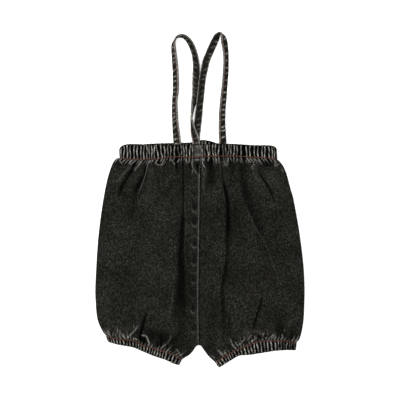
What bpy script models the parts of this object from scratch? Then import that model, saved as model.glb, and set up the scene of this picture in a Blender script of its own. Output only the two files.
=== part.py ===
# Toddler bubble shorts with two shoulder straps, in washed black denim, laid flat with the front up.
# Metres. +X is the right of the garment as seen, +Y is towards the straps, +Z is up from the surface.
# The origin is on the surface, under the middle of the garment.

import math

import bpy
import numpy as np

# Driving sizes

BACK_WALL = 0.0015
BAND_WALL = 0.0024
FRONT_WALL = 0.0013
CASING_WALL = 0.0016
SEAM_GAP = 0.0003
EDGE_GAP = 0.00025
FRONT_EDGE_HEIGHT = 0.0031
CROWN = 0.0034
CROWN_REACH = 0.016
MOST_HOLLOW = 0.0036
STRAP_WIDTH = 0.0094
FELL_WIDTH = 0.0100
FELL_THICKNESS = 0.0010
RIB_HEIGHT = 0.0013
CUFF_RIB_HEIGHT = 0.0010
BACK_RIB_DEPTH = 0.0006
CUFF_LIFT = 0.0016
FOLD_EDGE_REACH = 0.008

WAIST_GATHERS_FRONT = 46
WAIST_GATHERS_BACK = 40
CUFF_GATHERS_LEFT = 25
CUFF_GATHERS_RIGHT = 27
CUFF_GATHERS_BACK = 22

# Outlines, one row per point: x, y

WAIST_TOP = (
    (-0.1067, 0.0675),
    (-0.1056, 0.0705),
    (-0.1026, 0.0724),
    (-0.0960, 0.0731),
    (-0.0845, 0.0736),
    (-0.0700, 0.0736),
    (-0.0350, 0.0740),
    (0.0000, 0.0740),
    (0.0350, 0.0737),
    (0.0540, 0.0731),
    (0.0738, 0.0726),
    (0.0871, 0.0720),
    (0.0960, 0.0711),
    (0.1000, 0.0696),
    (0.1016, 0.0670),
)

BACK_WAIST_TOP = (
    (-0.1030, 0.0705),
    (-0.0655, 0.0748),
    (-0.0126, 0.0756),
    (0.0015, 0.0792),
    (0.0130, 0.0778),
    (0.0260, 0.0745),
    (0.0600, 0.0720),
    (0.1012, 0.0693),
)

WAIST_LINE = (
    (-0.1060, 0.0552),
    (-0.0927, 0.0530),
    (-0.0795, 0.0526),
    (-0.0620, 0.0532),
    (-0.0450, 0.0552),
    (-0.0318, 0.0562),
    (-0.0185, 0.0559),
    (-0.0105, 0.0554),
    (0.0007, 0.0567),
    (0.0200, 0.0568),
    (0.0464, 0.0569),
    (0.0730, 0.0556),
    (0.1020, 0.0540),
)

SIDE_LEFT = (
    (-0.1060, 0.0552),
    (-0.1091, 0.0560),
    (-0.1128, 0.0528),
    (-0.1156, 0.0482),
    (-0.1185, 0.0405),
    (-0.1225, 0.0272),
    (-0.1273, 0.0033),
    (-0.1313, -0.0206),
    (-0.1343, -0.0446),
    (-0.1363, -0.0685),
    (-0.1377, -0.0924),
    (-0.1388, -0.1164),
    (-0.1387, -0.1283),
    (-0.1370, -0.1523),
    (-0.1341, -0.1643),
    (-0.1294, -0.1741),
    (-0.1246, -0.1808),
)

SIDE_RIGHT = (
    (0.1020, 0.0540),
    (0.1046, 0.0524),
    (0.1080, 0.0486),
    (0.1107, 0.0442),
    (0.1143, 0.0350),
    (0.1196, 0.0153),
    (0.1231, 0.0033),
    (0.1280, -0.0206),
    (0.1320, -0.0446),
    (0.1352, -0.0685),
    (0.1376, -0.0924),
    (0.1387, -0.1164),
    (0.1386, -0.1283),
    (0.1378, -0.1523),
    (0.1367, -0.1643),
    (0.1345, -0.1762),
    (0.1318, -0.1850),
    (0.1283, -0.1893),
)

CENTRE_SEAM = (
    (0.0007, 0.0567),
    (-0.0008, 0.0250),
    (-0.0016, -0.0500),
    (-0.0026, -0.1200),
    (-0.0024, -0.1700),
    (-0.0016, -0.1935),
)

INSEAM_LEFT = (
    (-0.0016, -0.1935),
    (-0.0052, -0.1955),
    (-0.0093, -0.2007),
    (-0.0144, -0.2055),
    (-0.0194, -0.2084),
    (-0.0246, -0.2116),
)

INSEAM_RIGHT = (
    (-0.0016, -0.1935),
    (0.0045, -0.1976),
    (0.0118, -0.2064),
    (0.0212, -0.2145),
)

CUFF_LINE_LEFT = (
    (-0.1246, -0.1808),
    (-0.1170, -0.1824),
    (-0.1050, -0.1843),
    (-0.0931, -0.1852),
    (-0.0865, -0.1868),
    (-0.0798, -0.1905),
    (-0.0700, -0.1940),
    (-0.0532, -0.1988),
    (-0.0426, -0.2018),
    (-0.0333, -0.2058),
    (-0.0246, -0.2116),
)

CUFF_EDGE_LEFT = (
    (-0.1212, -0.1872),
    (-0.1170, -0.1893),
    (-0.1064, -0.1918),
    (-0.0890, -0.1948),
    (-0.0771, -0.1997),
    (-0.0612, -0.2063),
    (-0.0452, -0.2122),
    (-0.0360, -0.2166),
    (-0.0288, -0.2200),
)

CUFF_LINE_RIGHT = (
    (0.1283, -0.1893),
    (0.1165, -0.1869),
    (0.1020, -0.1857),
    (0.0825, -0.1866),
    (0.0718, -0.1886),
    (0.0612, -0.1933),
    (0.0466, -0.1993),
    (0.0306, -0.2086),
    (0.0212, -0.2145),
)

CUFF_EDGE_RIGHT = (
    (0.1272, -0.1988),
    (0.1144, -0.1983),
    (0.0998, -0.1988),
    (0.0904, -0.1995),
    (0.0798, -0.2006),
    (0.0692, -0.2022),
    (0.0592, -0.2044),
    (0.0510, -0.2070),
    (0.0410, -0.2128),
    (0.0319, -0.2186),
    (0.0262, -0.2230),
)

# How high the inside of the front waist casing lies, over the strap ends: x, height

BAND_LIFT = (
    (-0.1070, 0.0028),
    (-0.0600, 0.0036),
    (-0.0380, 0.0047),
    (-0.0220, 0.0047),
    (-0.0120, 0.0058),
    (-0.0102, 0.0066),
    (0.0020, 0.0066),
    (0.0060, 0.0050),
    (0.0220, 0.0047),
    (0.0380, 0.0047),
    (0.0600, 0.0036),
    (0.1030, 0.0028),
)

# How much further the back right cuff hangs below the front one: share of its length, drop

BACK_CUFF_DROP = (
    (0.00, 0.0003),
    (0.12, 0.0006),
    (0.25, 0.0010),
    (0.35, 0.0019),
    (0.45, 0.0025),
    (0.55, 0.0026),
    (0.63, 0.0014),
    (0.72, 0.0000),
    (1.00, 0.0000),
)

# Main folds of the front, each from its start through its middle to its end:
# x and y of the three, half width, height (a valley is below zero)

FOLDS = (
    (-0.0213, 0.0530, -0.0230, -0.0400, -0.0370, -0.1560, 0.0052, -0.0031),
    (-0.0100, 0.0530, -0.0110, -0.0700, -0.0130, -0.1700, 0.0060, 0.0012),
    (0.0293, 0.0530, 0.0390, -0.0300, 0.0330, -0.1450, 0.0050, -0.0022),
    (0.0755, 0.0520, 0.0900, 0.0150, 0.1017, -0.0180, 0.0048, -0.0020),
    (0.0512, 0.0420, 0.0580, 0.0090, 0.0672, -0.0250, 0.0060, -0.0012),
    (0.0480, 0.0320, 0.0760, -0.0320, 0.1084, -0.1110, 0.0080, -0.0012),
    (-0.0640, 0.0530, -0.0760, 0.0200, -0.0915, -0.0190, 0.0050, 0.0016),
    (-0.0780, 0.0500, -0.0900, 0.0230, -0.1010, 0.0040, 0.0042, -0.0018),
    (-0.0850, 0.0510, -0.0940, 0.0360, -0.1000, 0.0200, 0.0044, 0.0013),
    (-0.0930, 0.0480, -0.1010, 0.0300, -0.1075, 0.0170, 0.0040, -0.0013),
    (-0.0318, 0.0480, -0.0320, 0.0380, -0.0316, 0.0250, 0.0036, -0.0012),
    (-0.0370, -0.1270, -0.0380, -0.1560, -0.0440, -0.1700, 0.0060, 0.0016),
    (-0.0570, -0.1440, -0.0650, -0.1540, -0.0750, -0.1640, 0.0070, -0.0013),
    (-0.0750, -0.1600, -0.0790, -0.1700, -0.0840, -0.1780, 0.0048, 0.0014),
    (0.0830, -0.1310, 0.0745, -0.1560, 0.0718, -0.1830, 0.0050, -0.0022),
    (0.0322, -0.1070, 0.0395, -0.1480, 0.0415, -0.1790, 0.0070, -0.0013),
    (0.1064, -0.1520, 0.1030, -0.1620, 0.0983, -0.1690, 0.0070, 0.0010),
    (-0.1180, -0.0500, -0.1240, -0.0900, -0.1230, -0.1350, 0.0100, -0.0007),
)

# Straps, one row per section: x, y, height of the lowest edge, roll in degrees, thickness.
# The roll turns the stitched edge, which faces the neck at the front, up and then over.

STRAP_LEFT = (
    (-0.0303, 0.0620, 0.0027, 0, 0.0016),
    (-0.0303, 0.0728, 0.0027, 0, 0.0016),
    (-0.0306, 0.0804, 0.0024, 6, 0.0018),
    (-0.0323, 0.0995, 0.0002, 40, 0.0022),
    (-0.0331, 0.1185, 0.0002, 52, 0.0022),
    (-0.0330, 0.1325, 0.0002, 54, 0.0022),
    (-0.0317, 0.1460, 0.0002, 46, 0.0022),
    (-0.0318, 0.1630, 0.0002, 47, 0.0022),
    (-0.0325, 0.1784, 0.0002, 49, 0.0022),
    (-0.0341, 0.1949, 0.0002, 58, 0.0023),
    (-0.0348, 0.2060, 0.0002, 69, 0.0024),
    (-0.0336, 0.2116, 0.0002, 78, 0.0027),
    (-0.0308, 0.2157, 0.0002, 84, 0.0031),
    (-0.0257, 0.2174, 0.0002, 92, 0.0034),
    (-0.0205, 0.2162, 0.0002, 102, 0.0034),
    (-0.0160, 0.2122, 0.0002, 110, 0.0030),
    (-0.0120, 0.2063, 0.0002, 116, 0.0026),
    (-0.0081, 0.1969, 0.0002, 120, 0.0024),
    (-0.0061, 0.1887, 0.0002, 132, 0.0022),
    (-0.0050, 0.1785, 0.0002, 156, 0.0022),
    (-0.0051, 0.1703, 0.0002, 171, 0.0022),
    (-0.0055, 0.1580, 0.0002, 179, 0.0022),
    (-0.0056, 0.1461, 0.0002, 180, 0.0022),
    (-0.0060, 0.1390, 0.0002, 188, 0.0022),
    (-0.0068, 0.1328, 0.0002, 205, 0.0022),
    (-0.0086, 0.1263, 0.0002, 240, 0.0022),
    (-0.0099, 0.1180, 0.0002, 257, 0.0022),
    (-0.0109, 0.1097, 0.0002, 270, 0.0022),
    (-0.0101, 0.1012, 0.0002, 290, 0.0022),
    (-0.0090, 0.0930, 0.0008, 312, 0.0020),
    (-0.0079, 0.0880, 0.0020, 328, 0.0018),
    (-0.0069, 0.0845, 0.0035, 341, 0.0017),
    (-0.0057, 0.0800, 0.0045, 352, 0.0016),
    (-0.0050, 0.0760, 0.0047, 359, 0.0016),
    (-0.0049, 0.0710, 0.0047, 360, 0.0016),
    (-0.0049, 0.0620, 0.0047, 360, 0.0016),
)

STRAP_RIGHT = (
    (0.0302, 0.0620, 0.0027, 0, 0.0016),
    (0.0302, 0.0725, 0.0027, 0, 0.0016),
    (0.0300, 0.0804, 0.0024, 6, 0.0018),
    (0.0295, 0.0995, 0.0002, 36, 0.0022),
    (0.0301, 0.1185, 0.0002, 46, 0.0022),
    (0.0316, 0.1374, 0.0002, 42, 0.0022),
    (0.0324, 0.1460, 0.0002, 46, 0.0022),
    (0.0335, 0.1578, 0.0002, 50, 0.0022),
    (0.0346, 0.1701, 0.0002, 55, 0.0022),
    (0.0351, 0.1817, 0.0002, 58, 0.0022),
    (0.0347, 0.1948, 0.0002, 55, 0.0022),
    (0.0334, 0.2046, 0.0002, 53, 0.0022),
    (0.0322, 0.2110, 0.0002, 57, 0.0023),
    (0.0304, 0.2170, 0.0002, 70, 0.0025),
    (0.0268, 0.22125, 0.0002, 94, 0.0028),
    (0.0228, 0.2175, 0.0002, 132, 0.0026),
    (0.0198, 0.2117, 0.0002, 155, 0.0023),
    (0.0158, 0.2030, 0.0002, 164, 0.0022),
    (0.0123, 0.1950, 0.0002, 166, 0.0022),
    (0.0084, 0.1852, 0.0002, 166, 0.0022),
    (0.0052, 0.1711, 0.0002, 160, 0.0022),
    (0.0030, 0.1596, 0.0002, 156, 0.0022),
    (0.0013, 0.1430, 0.0002, 156, 0.0022),
    (-0.0005, 0.1263, 0.0002, 160, 0.0022),
    (-0.0013, 0.1180, 0.0002, 165, 0.0022),
    (-0.0020, 0.1097, 0.0002, 172, 0.0022),
    (-0.0034, 0.0972, 0.0002, 178, 0.0022),
    (-0.0043, 0.0900, 0.0006, 180, 0.0020),
    (-0.0049, 0.0845, 0.0018, 180, 0.0018),
    (-0.0051, 0.0800, 0.0027, 180, 0.0016),
    (-0.0050, 0.0710, 0.0027, 180, 0.0016),
    (-0.0049, 0.0620, 0.0027, 180, 0.0016),
)

# Sections of a front casing, one row per point: share across, share of the wall, share of the gather

FRONT_CASING = (
    (1.00, 0.00, 0.00),
    (0.00, 0.00, 0.00),
    (0.00, 0.55, 0.00),
    (0.16, 1.00, 0.80),
    (0.50, 1.00, 1.00),
    (0.82, 1.00, 0.85),
    (1.00, 0.70, 0.00),
)

# Sections of a back casing, one row per point: share across, share of the wall, share of the gather's hollow

BACK_CASING = (
    (1.00, 0.38, 0.00),
    (0.84, 0.00, 1.00),
    (0.16, 0.00, 1.00),
    (0.00, 0.38, 0.00),
    (0.00, 0.75, 0.00),
    (0.12, 1.00, 0.00),
    (0.88, 1.00, 0.00),
    (1.00, 0.75, 0.00),
)

# One gather, a row per section: share of its width, share of its height

FRONT_GATHER = (
    (0.00, 0.0),
    (0.34, 1.0),
    (0.66, 1.0),
)
BACK_GATHER = (
    (0.0, 0.0),
    (0.5, 1.0),
)

# Section of a strap: share of half the width, share of half the thickness

STRAP_SECTION = (
    (-1.00, 0.0),
    (-0.84, -1.0),
    (0.84, -1.0),
    (1.00, 0.0),
    (0.84, 1.0),
    (-0.84, 1.0),
)

# Unevenness of the gathers: share of the pitch or height, step of the wave from one gather to the next

PITCH_WAVES = (
    (0.24, 2.4),
    (0.14, 5.1),
)
HEIGHT_WAVE = (0.2, 1.7)

# How a fold dies away: share of its length that fades, share of its height left at the end

FOLD_FADE = 0.35
FOLD_END = 0.25

# Mesh spacing

PANEL_COLUMNS = 20
PANEL_ROWS = 34
FELL_COLUMNS = 3
STRAP_SECTIONS = 96
FOLD_POINTS = 15
SEAM_POINTS = 30
CUFF_POINTS = 40
BACK_POINTS = {"waist": 12, "seam": 8, "inseam": 6, "cuff": 12, "side": 20}


def smooth_path(rows, per_row=10):
    """Many points along a smooth curve through the rows of a table."""
    table = np.array(rows, float)
    before = 2 * table[0] - table[1]
    after = 2 * table[-1] - table[-2]
    knots = np.vstack([before, table, after])
    points = []
    for i in range(1, len(knots) - 2):
        for step in range(per_row):
            t = step / per_row
            points.append(
                0.5
                * (
                    2 * knots[i]
                    + (knots[i + 1] - knots[i - 1]) * t
                    + (2 * knots[i - 1] - 5 * knots[i] + 4 * knots[i + 1] - knots[i + 2]) * t**2
                    + (3 * knots[i] - knots[i - 1] - 3 * knots[i + 1] + knots[i + 2]) * t**3
                )
            )
    points.append(table[-1])
    return np.array(points)


def along(points, shares):
    """Points at the given shares of a path's length."""
    steps = np.linalg.norm(np.diff(points[:, :2], axis=0), axis=1)
    length = np.concatenate([[0.0], np.cumsum(steps)])
    at = np.asarray(shares, float) * length[-1]
    return np.stack([np.interp(at, length, points[:, k]) for k in range(points.shape[1])], axis=1)


def nearest(points, path):
    """Distance from each point to a path."""
    gaps = np.linalg.norm(points[:, None, :2] - path[None, :, :2], axis=2)
    return gaps.min(axis=1)


def fold_relief(xy):
    """Height that the folds add or take away at each point of the front."""
    relief = np.zeros(len(xy))
    shares = np.linspace(0.0, 1.0, FOLD_POINTS)
    for x0, y0, x1, y1, x2, y2, half_width, height in FOLDS:
        line = smooth_path(((x0, y0), (x1, y1), (x2, y2)))
        line = along(line, shares)
        gaps = np.linalg.norm(xy[:, None, :] - line[None, :, :], axis=2)
        share = shares[gaps.argmin(axis=1)]
        fade = np.clip((1.0 - share) / FOLD_FADE, 0.0, 1.0)
        left = FOLD_END + (1.0 - FOLD_END) * fade
        relief += height * left * np.exp(-((gaps.min(axis=1) / half_width) ** 2))
    return relief


def front_height(xy, side, inseam):
    """Height of the front panel's outer face, low at the garment's edges and crowned between."""
    edge = np.minimum(nearest(xy, side), nearest(xy, inseam))
    crown = CROWN * (1.0 - np.exp(-edge / CROWN_REACH))
    return FRONT_EDGE_HEIGHT + crown + fold_relief(xy) * (1.0 - np.exp(-edge / FOLD_EDGE_REACH))


def new_material(name, colour, roughness):
    material = bpy.data.materials.new(name)
    material.use_nodes = True
    shader = material.node_tree.nodes["Principled BSDF"]
    shader.inputs["Base Color"].default_value = (*colour, 1.0)
    shader.inputs["Roughness"].default_value = roughness
    shader.inputs["Metallic"].default_value = 0.0
    return material


def new_object(name, points, faces, material):
    mesh = bpy.data.meshes.new(name)
    mesh.from_pydata([tuple(map(float, p)) for p in points], [], faces)
    mesh.update()
    mesh.materials.append(material)
    piece = bpy.data.objects.new(name, mesh)
    bpy.context.scene.collection.objects.link(piece)
    return piece


def quad(a, b, c, d):
    """Two triangles that share the diagonal from a to c."""
    return [(a, b, c), (a, c, d)]


def wall(name, outer, inner, material):
    """A closed wall between two grids of points with the same rows and columns."""
    rows, columns = outer.shape[:2]
    points = np.concatenate([outer.reshape(-1, 3), inner.reshape(-1, 3)])
    second = rows * columns
    faces = []
    for r in range(rows - 1):
        for c in range(columns - 1):
            a = r * columns + c
            b, e, d = a + 1, a + columns + 1, a + columns
            faces += quad(a, d, e, b)
            faces += quad(second + a, second + b, second + e, second + d)
    rim = list(range(columns))
    rim += [r * columns + columns - 1 for r in range(1, rows)]
    rim += [(rows - 1) * columns + c for c in range(columns - 2, -1, -1)]
    rim += [r * columns for r in range(rows - 2, 0, -1)]
    for i, a in enumerate(rim):
        b = rim[(i + 1) % len(rim)]
        faces += quad(a, b, second + b, second + a)
    return facing_out(new_object(name, points, faces, material))


def sweep(name, rings, material):
    """A closed body through rings of points, with flat ends."""
    rings = np.asarray(rings)
    count, size = rings.shape[:2]
    faces = []
    for r in range(count - 1):
        for k in range(size):
            a = r * size + k
            b = r * size + (k + 1) % size
            faces += quad(a, b, b + size, a + size)
    last = (count - 1) * size
    for k in range(1, size - 1):
        faces.append((0, k + 1, k))
        faces.append((last, last + k, last + k + 1))
    return facing_out(new_object(name, rings.reshape(-1, 3), faces, material))


def facing_out(piece):
    """Turns the faces over where the body's volume comes out negative."""
    mesh = piece.data
    volume = 0.0
    for polygon in mesh.polygons:
        a, b, c = (mesh.vertices[i].co for i in polygon.vertices)
        volume += a.dot(b.cross(c))
    if volume < 0:
        mesh.flip_normals()
    return piece


def plate(name, outline, bottom, top, material):
    """A flat panel with the given outline."""
    points = [(x, y, bottom) for x, y in outline] + [(x, y, top) for x, y in outline]
    count = len(outline)
    sides = [(i, (i + 1) % count, (i + 1) % count + count, i + count) for i in range(count)]
    faces = [tuple(range(count - 1, -1, -1)), tuple(range(count, 2 * count))] + sides
    piece = new_object(name, points, faces, material)
    x, y = np.array(outline).T
    if np.sum(x * np.roll(y, -1) - np.roll(x, -1) * y) < 0:
        piece.data.flip_normals()
    return piece


def leg_grid(side, seam, inseam, waist, line):
    """Plan of a leg panel: rows from waist to cuff, columns from side to centre, the felled strip's last."""
    inner = np.vstack([seam, inseam[1:]])
    rows = np.linspace(0.0, 1.0, PANEL_ROWS)
    left = along(side, rows)
    right = along(inner, rows)
    grid = []
    for r, t in enumerate(rows):
        width = np.linalg.norm(right[r] - left[r])
        fell = FELL_WIDTH / width
        spread = np.linspace(0.0, 1.0 - fell, PANEL_COLUMNS - FELL_COLUMNS + 1)
        shares = np.concatenate([spread, np.linspace(1.0 - fell, 1.0, FELL_COLUMNS)[1:]])
        top = along(waist, shares)
        low = along(line, shares)
        s = shares[:, None]
        across = (1 - s) * left[r] + s * right[r]
        down = (1 - t) * top + t * low
        top_ends = (1 - s) * waist[0] + s * waist[-1]
        low_ends = (1 - s) * line[0] + s * line[-1]
        grid.append(across + down - (1 - t) * top_ends - t * low_ends)
    return np.array(grid)


def moved(points, dx=0.0, dy=0.0):
    """A path shifted in the plane."""
    return points + np.array([dx, dy])


def cut_path(path, x):
    """The part of a left to right path before x, and the part after it, both ending at x."""
    y = np.interp(x, path[:, 0], path[:, 1])
    before = np.vstack([path[path[:, 0] < x], [[x, y]]])
    after = np.vstack([[[x, y]], path[path[:, 0] > x]])
    return before, after


def leg_plan(hand):
    """Edges of one leg, in the order side, seam, inseam, waist and cuff line."""
    waist = moved(smooth_path(WAIST_LINE), dy=-EDGE_GAP)
    before, after = cut_path(waist, CENTRE_SEAM[0][0] + hand * EDGE_GAP)
    seam = moved(smooth_path(CENTRE_SEAM), dx=hand * EDGE_GAP)
    seam = along(seam, np.linspace(0.0, 1.0, SEAM_POINTS))
    if hand < 0:
        side = smooth_path(SIDE_LEFT)
        inseam = moved(smooth_path(INSEAM_LEFT), dx=-EDGE_GAP)
        line = moved(smooth_path(CUFF_LINE_LEFT), dy=EDGE_GAP)
        waist = before
    else:
        side = smooth_path(SIDE_RIGHT)
        inseam = moved(smooth_path(INSEAM_RIGHT), dx=EDGE_GAP)
        line = moved(smooth_path(CUFF_LINE_RIGHT), dy=EDGE_GAP)
        waist = after[::-1]
    side = np.vstack([waist[0], side[2:-1], line[0]])
    seam[0] = waist[-1]
    inseam[-1] = line[-1]
    return side, seam, inseam, waist, line


def front_leg(name, hand, material):
    side, seam, inseam, waist, line = leg_plan(hand)
    plan = leg_grid(side, seam, inseam, waist, line)
    flat = plan.reshape(-1, 2)
    height = front_height(flat, side, inseam).reshape(plan.shape[:2])
    inside = np.minimum(height - FRONT_WALL, BACK_WALL + MOST_HOLLOW)
    outer = np.dstack([plan, height])
    inner = np.dstack([plan, inside])
    wall(name, outer, inner, material)
    return outer


def fell_strip(name, outer, material):
    """The seam's felled strip, from the panel's own points beside the centre seam, down to the crotch."""
    strip = outer[:, -FELL_COLUMNS:]
    rows = [r for r in range(len(strip)) if strip[r, -1, 1] > CENTRE_SEAM[-1][1]]
    strip = strip[rows]
    low = strip + np.array([0.0, 0.0, SEAM_GAP])
    high = strip + np.array([0.0, 0.0, SEAM_GAP + FELL_THICKNESS])
    wall(name, high, low, material)


def back_leg(name, hand, material):
    side, seam, inseam, waist, line = leg_plan(hand)
    edges = {"waist": waist, "seam": seam, "inseam": inseam, "cuff": line[::-1], "side": side[::-1]}
    outline = []
    for edge, path in edges.items():
        outline += list(along(path, np.linspace(0.0, 1.0, BACK_POINTS[edge]))[:-1])
    plate(name, [tuple(p) for p in outline], 0.0, BACK_WALL, material)


def gather_shares(count, gather):
    """Shares of a casing's length at each gather's sections, and their heights, with uneven gathers."""
    widths = [1.0 + sum(size * math.sin(step * k) for size, step in PITCH_WAVES) for k in range(count)]
    ends = np.concatenate([[0.0], np.cumsum(widths)]) / sum(widths)
    uneven, wave = HEIGHT_WAVE
    shares = []
    heights = []
    for k in range(count):
        size = 1.0 - uneven + uneven * math.sin(wave * k)
        for share, height in gather:
            shares.append(ends[k] + share * (ends[k + 1] - ends[k]))
            heights.append(height * size)
    shares.append(1.0)
    heights.append(0.0)
    return np.array(shares), np.array(heights)


def casing(name, edges, gathers, section, height_of, material):
    """A gathered casing between an upper and a lower edge, swept from ring to ring."""
    count, gather = gathers
    upper, lower = edges
    shares, heights = gather_shares(count, gather)
    top = along(upper, shares)
    low = along(lower, shares)
    rings = []
    for place, end, share, height in zip(top, low, shares, heights):
        ring = []
        for across, wall_share, gather_share in section:
            x, y = place + across * (end - place)
            ring.append((x, y, height_of(place[0], share, height, wall_share, gather_share)))
        rings.append(ring)
    sweep(name, rings, material)


def back_height(x, share, height, wall_share, gather_share):
    """Height of a point on a back casing, whose gathers stand on the surface it rests on."""
    return BAND_WALL * wall_share + BACK_RIB_DEPTH * gather_share * (1.0 - height)


def waistbands(material):
    lift = np.array(BAND_LIFT)
    line = moved(smooth_path(WAIST_LINE), dy=EDGE_GAP)
    front_edges = (smooth_path(WAIST_TOP), line)
    back_edges = (smooth_path(BACK_WAIST_TOP), line)

    def front_height_at(x, share, height, wall_share, gather_share):
        base = np.interp(x, lift[:, 0], lift[:, 1])
        return base + CASING_WALL * wall_share + RIB_HEIGHT * height * gather_share

    front_gathers = (WAIST_GATHERS_FRONT, FRONT_GATHER)
    back_gathers = (WAIST_GATHERS_BACK, BACK_GATHER)
    casing("waistband_front", front_edges, front_gathers, FRONT_CASING, front_height_at, material)
    casing("waistband_back", back_edges, back_gathers, BACK_CASING, back_height, material)


def cuffs(side_name, line_rows, edge_rows, gathers, drop, material):
    line = moved(smooth_path(line_rows), dy=-EDGE_GAP)
    edge = smooth_path(edge_rows)

    def front_height_at(x, share, height, wall_share, gather_share):
        base = BAND_WALL + SEAM_GAP + CUFF_LIFT * math.sin(math.pi * share)
        return base + CASING_WALL * wall_share + CUFF_RIB_HEIGHT * height * gather_share

    front_gathers = (gathers, FRONT_GATHER)
    casing("cuff_front_" + side_name, (line, edge), front_gathers, FRONT_CASING, front_height_at, material)
    shares = np.linspace(0.0, 1.0, CUFF_POINTS)
    back_edge = along(edge, shares)
    if drop:
        table = np.array(drop)
        back_edge[:, 1] -= np.interp(shares, table[:, 0], table[:, 1])
    back_gathers = (CUFF_GATHERS_BACK, BACK_GATHER)
    casing("cuff_back_" + side_name, (line, back_edge), back_gathers, BACK_CASING, back_height, material)


def strap(name, rows, hand, material):
    """A flat strap that rolls about its length. hand is 1 where the stitched edge starts on the right."""
    path = along(smooth_path(rows), np.linspace(0.0, 1.0, STRAP_SECTIONS))
    ahead = np.gradient(path[:, :2], axis=0)
    ahead /= np.linalg.norm(ahead, axis=1)[:, None]
    half_width = STRAP_WIDTH / 2
    rings = []
    for (x, y, lowest, roll, thickness), (ax, ay) in zip(path, ahead):
        turn = math.radians(roll)
        aside = np.array([ay * hand, -ax * hand, 0.0])
        up = np.array([0.0, 0.0, 1.0])
        wide = math.cos(turn) * aside + math.sin(turn) * up
        thick = math.cos(turn) * up - math.sin(turn) * aside
        ring = np.array([w * half_width * wide + n * thickness / 2 * thick for w, n in STRAP_SECTION])
        ring += np.array([x, y, lowest - ring[:, 2].min()])
        rings.append(ring)
    sweep(name, rings, material)


def main():
    for item in list(bpy.data.objects):
        bpy.data.objects.remove(item, do_unlink=True)
    denim = new_material("washed black denim", (0.020, 0.021, 0.019), 0.9)
    gathered = new_material("gathered washed denim", (0.045, 0.043, 0.038), 0.88)
    worn = new_material("worn strap denim", (0.075, 0.068, 0.060), 0.9)

    left = front_leg("leg_front_left", -1, denim)
    front_leg("leg_front_right", 1, denim)
    fell_strip("seam_front", left, denim)
    back_leg("leg_back_left", -1, denim)
    back_leg("leg_back_right", 1, denim)
    waistbands(gathered)
    cuffs("left", CUFF_LINE_LEFT, CUFF_EDGE_LEFT, CUFF_GATHERS_LEFT, None, gathered)
    cuffs("right", CUFF_LINE_RIGHT, CUFF_EDGE_RIGHT, CUFF_GATHERS_RIGHT, BACK_CUFF_DROP, gathered)
    strap("strap_left", STRAP_LEFT, 1, worn)
    strap("strap_right", STRAP_RIGHT, -1, worn)


main()
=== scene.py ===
# Toddler bubble shorts in washed black denim, laid flat with the front up: the cloth, thread and light.
# Metres, in the frame of the solids: +X right, +Y towards the straps, +Z up from the surface.

import math

import bpy
import numpy as np
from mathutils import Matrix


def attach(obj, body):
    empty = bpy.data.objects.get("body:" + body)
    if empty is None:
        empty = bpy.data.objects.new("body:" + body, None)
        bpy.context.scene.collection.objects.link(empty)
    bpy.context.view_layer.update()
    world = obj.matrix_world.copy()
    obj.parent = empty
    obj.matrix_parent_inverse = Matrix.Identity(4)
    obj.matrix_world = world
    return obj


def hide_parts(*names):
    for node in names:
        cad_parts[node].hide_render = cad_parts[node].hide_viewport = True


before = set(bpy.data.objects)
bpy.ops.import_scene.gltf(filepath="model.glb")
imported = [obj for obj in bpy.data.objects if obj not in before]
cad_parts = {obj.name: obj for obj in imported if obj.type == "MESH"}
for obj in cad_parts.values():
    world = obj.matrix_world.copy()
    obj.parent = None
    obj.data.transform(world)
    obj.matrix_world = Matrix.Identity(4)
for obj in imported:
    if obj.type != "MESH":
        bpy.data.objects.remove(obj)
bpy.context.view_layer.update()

# Sizes of the cloth

BACK_TOP = 0.00145
FRONT_LOWEST = 0.00165
FRONT_EDGE_HEIGHT = 0.0026
SIDE_ROUND = 0.0009
CROWN = 0.0034
CROWN_REACH = 0.016
CLOTH = 0.0009
LEAST_CLOTH = 0.0004
MOST_HOLLOW = 0.0036
SEAM_GAP = 0.0003
EDGE_GAP = 0.00004
STRAP_WIDTH = 0.0102
FELL_WIDTH = 0.0100
FELL_THICKNESS = 0.0009
BAND_WALL = 0.0024
CASING_WALL = 0.0015
CUFF_LIFT = 0.0016
CELL = 0.0010
BACK_CELL = 0.0014
STITCH_PLACE = 0.94
STRAP_STITCH = 0.52

# Relief of the panels, each dip with its depth and half width

CROWN_SETTLED = 0.0004
SIDE_ROUND_REACH = 0.0012
FOLD_HOLD_REACH = 0.004
SEAM_MIDDLE = -0.0007
FOLD_OVERLAP = 0.004
FOLD_STEP = 0.0006
WAIST_DIP = (0.0011, 0.0014)
CUFF_DIP = (0.0010, 0.0012)
SEAM_DIP = (0.0007, 0.0012)
BACK_SEAM_RISE = (0.0005, 0.0010)
WAVE_COUNT = 14
SHORTEST_WAVE = 0.010
LONGEST_WAVE = 0.045
FRONT_WAVES = 0.00016
BACK_WAVES = 0.00012
BACK_FOLD_SHARE = -0.30

# The felled strip: its columns, and its pale line with its place and half width as shares across

FELL_COLUMNS = 26
FELL_LINE = 0.925
FELL_LINE_HALF = 0.085
FELL_BARE_HALF = 0.10
FELL_BEAD_PITCH = 0.0031

# Casings and straps

CASING_CELL = 0.0005
WAIST_RIB_HALF = 0.0010 / 0.21
RIB_HALF_SHARE = 0.25
RIB_HEIGHT = 0.0014
CASING_BULGE = 0.0004
BACK_RELIEF = 0.0010
BACK_GROOVE = 0.0008
WAIST_LEAN = 0.004
CUFF_LEAN = 0.006
STRAP_CELL = 0.0005
STRAP_CORNERS = 40
STRAP_SQUARENESS = 0.36
PUCKER_HALF = 0.0010

# Stitches

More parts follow.
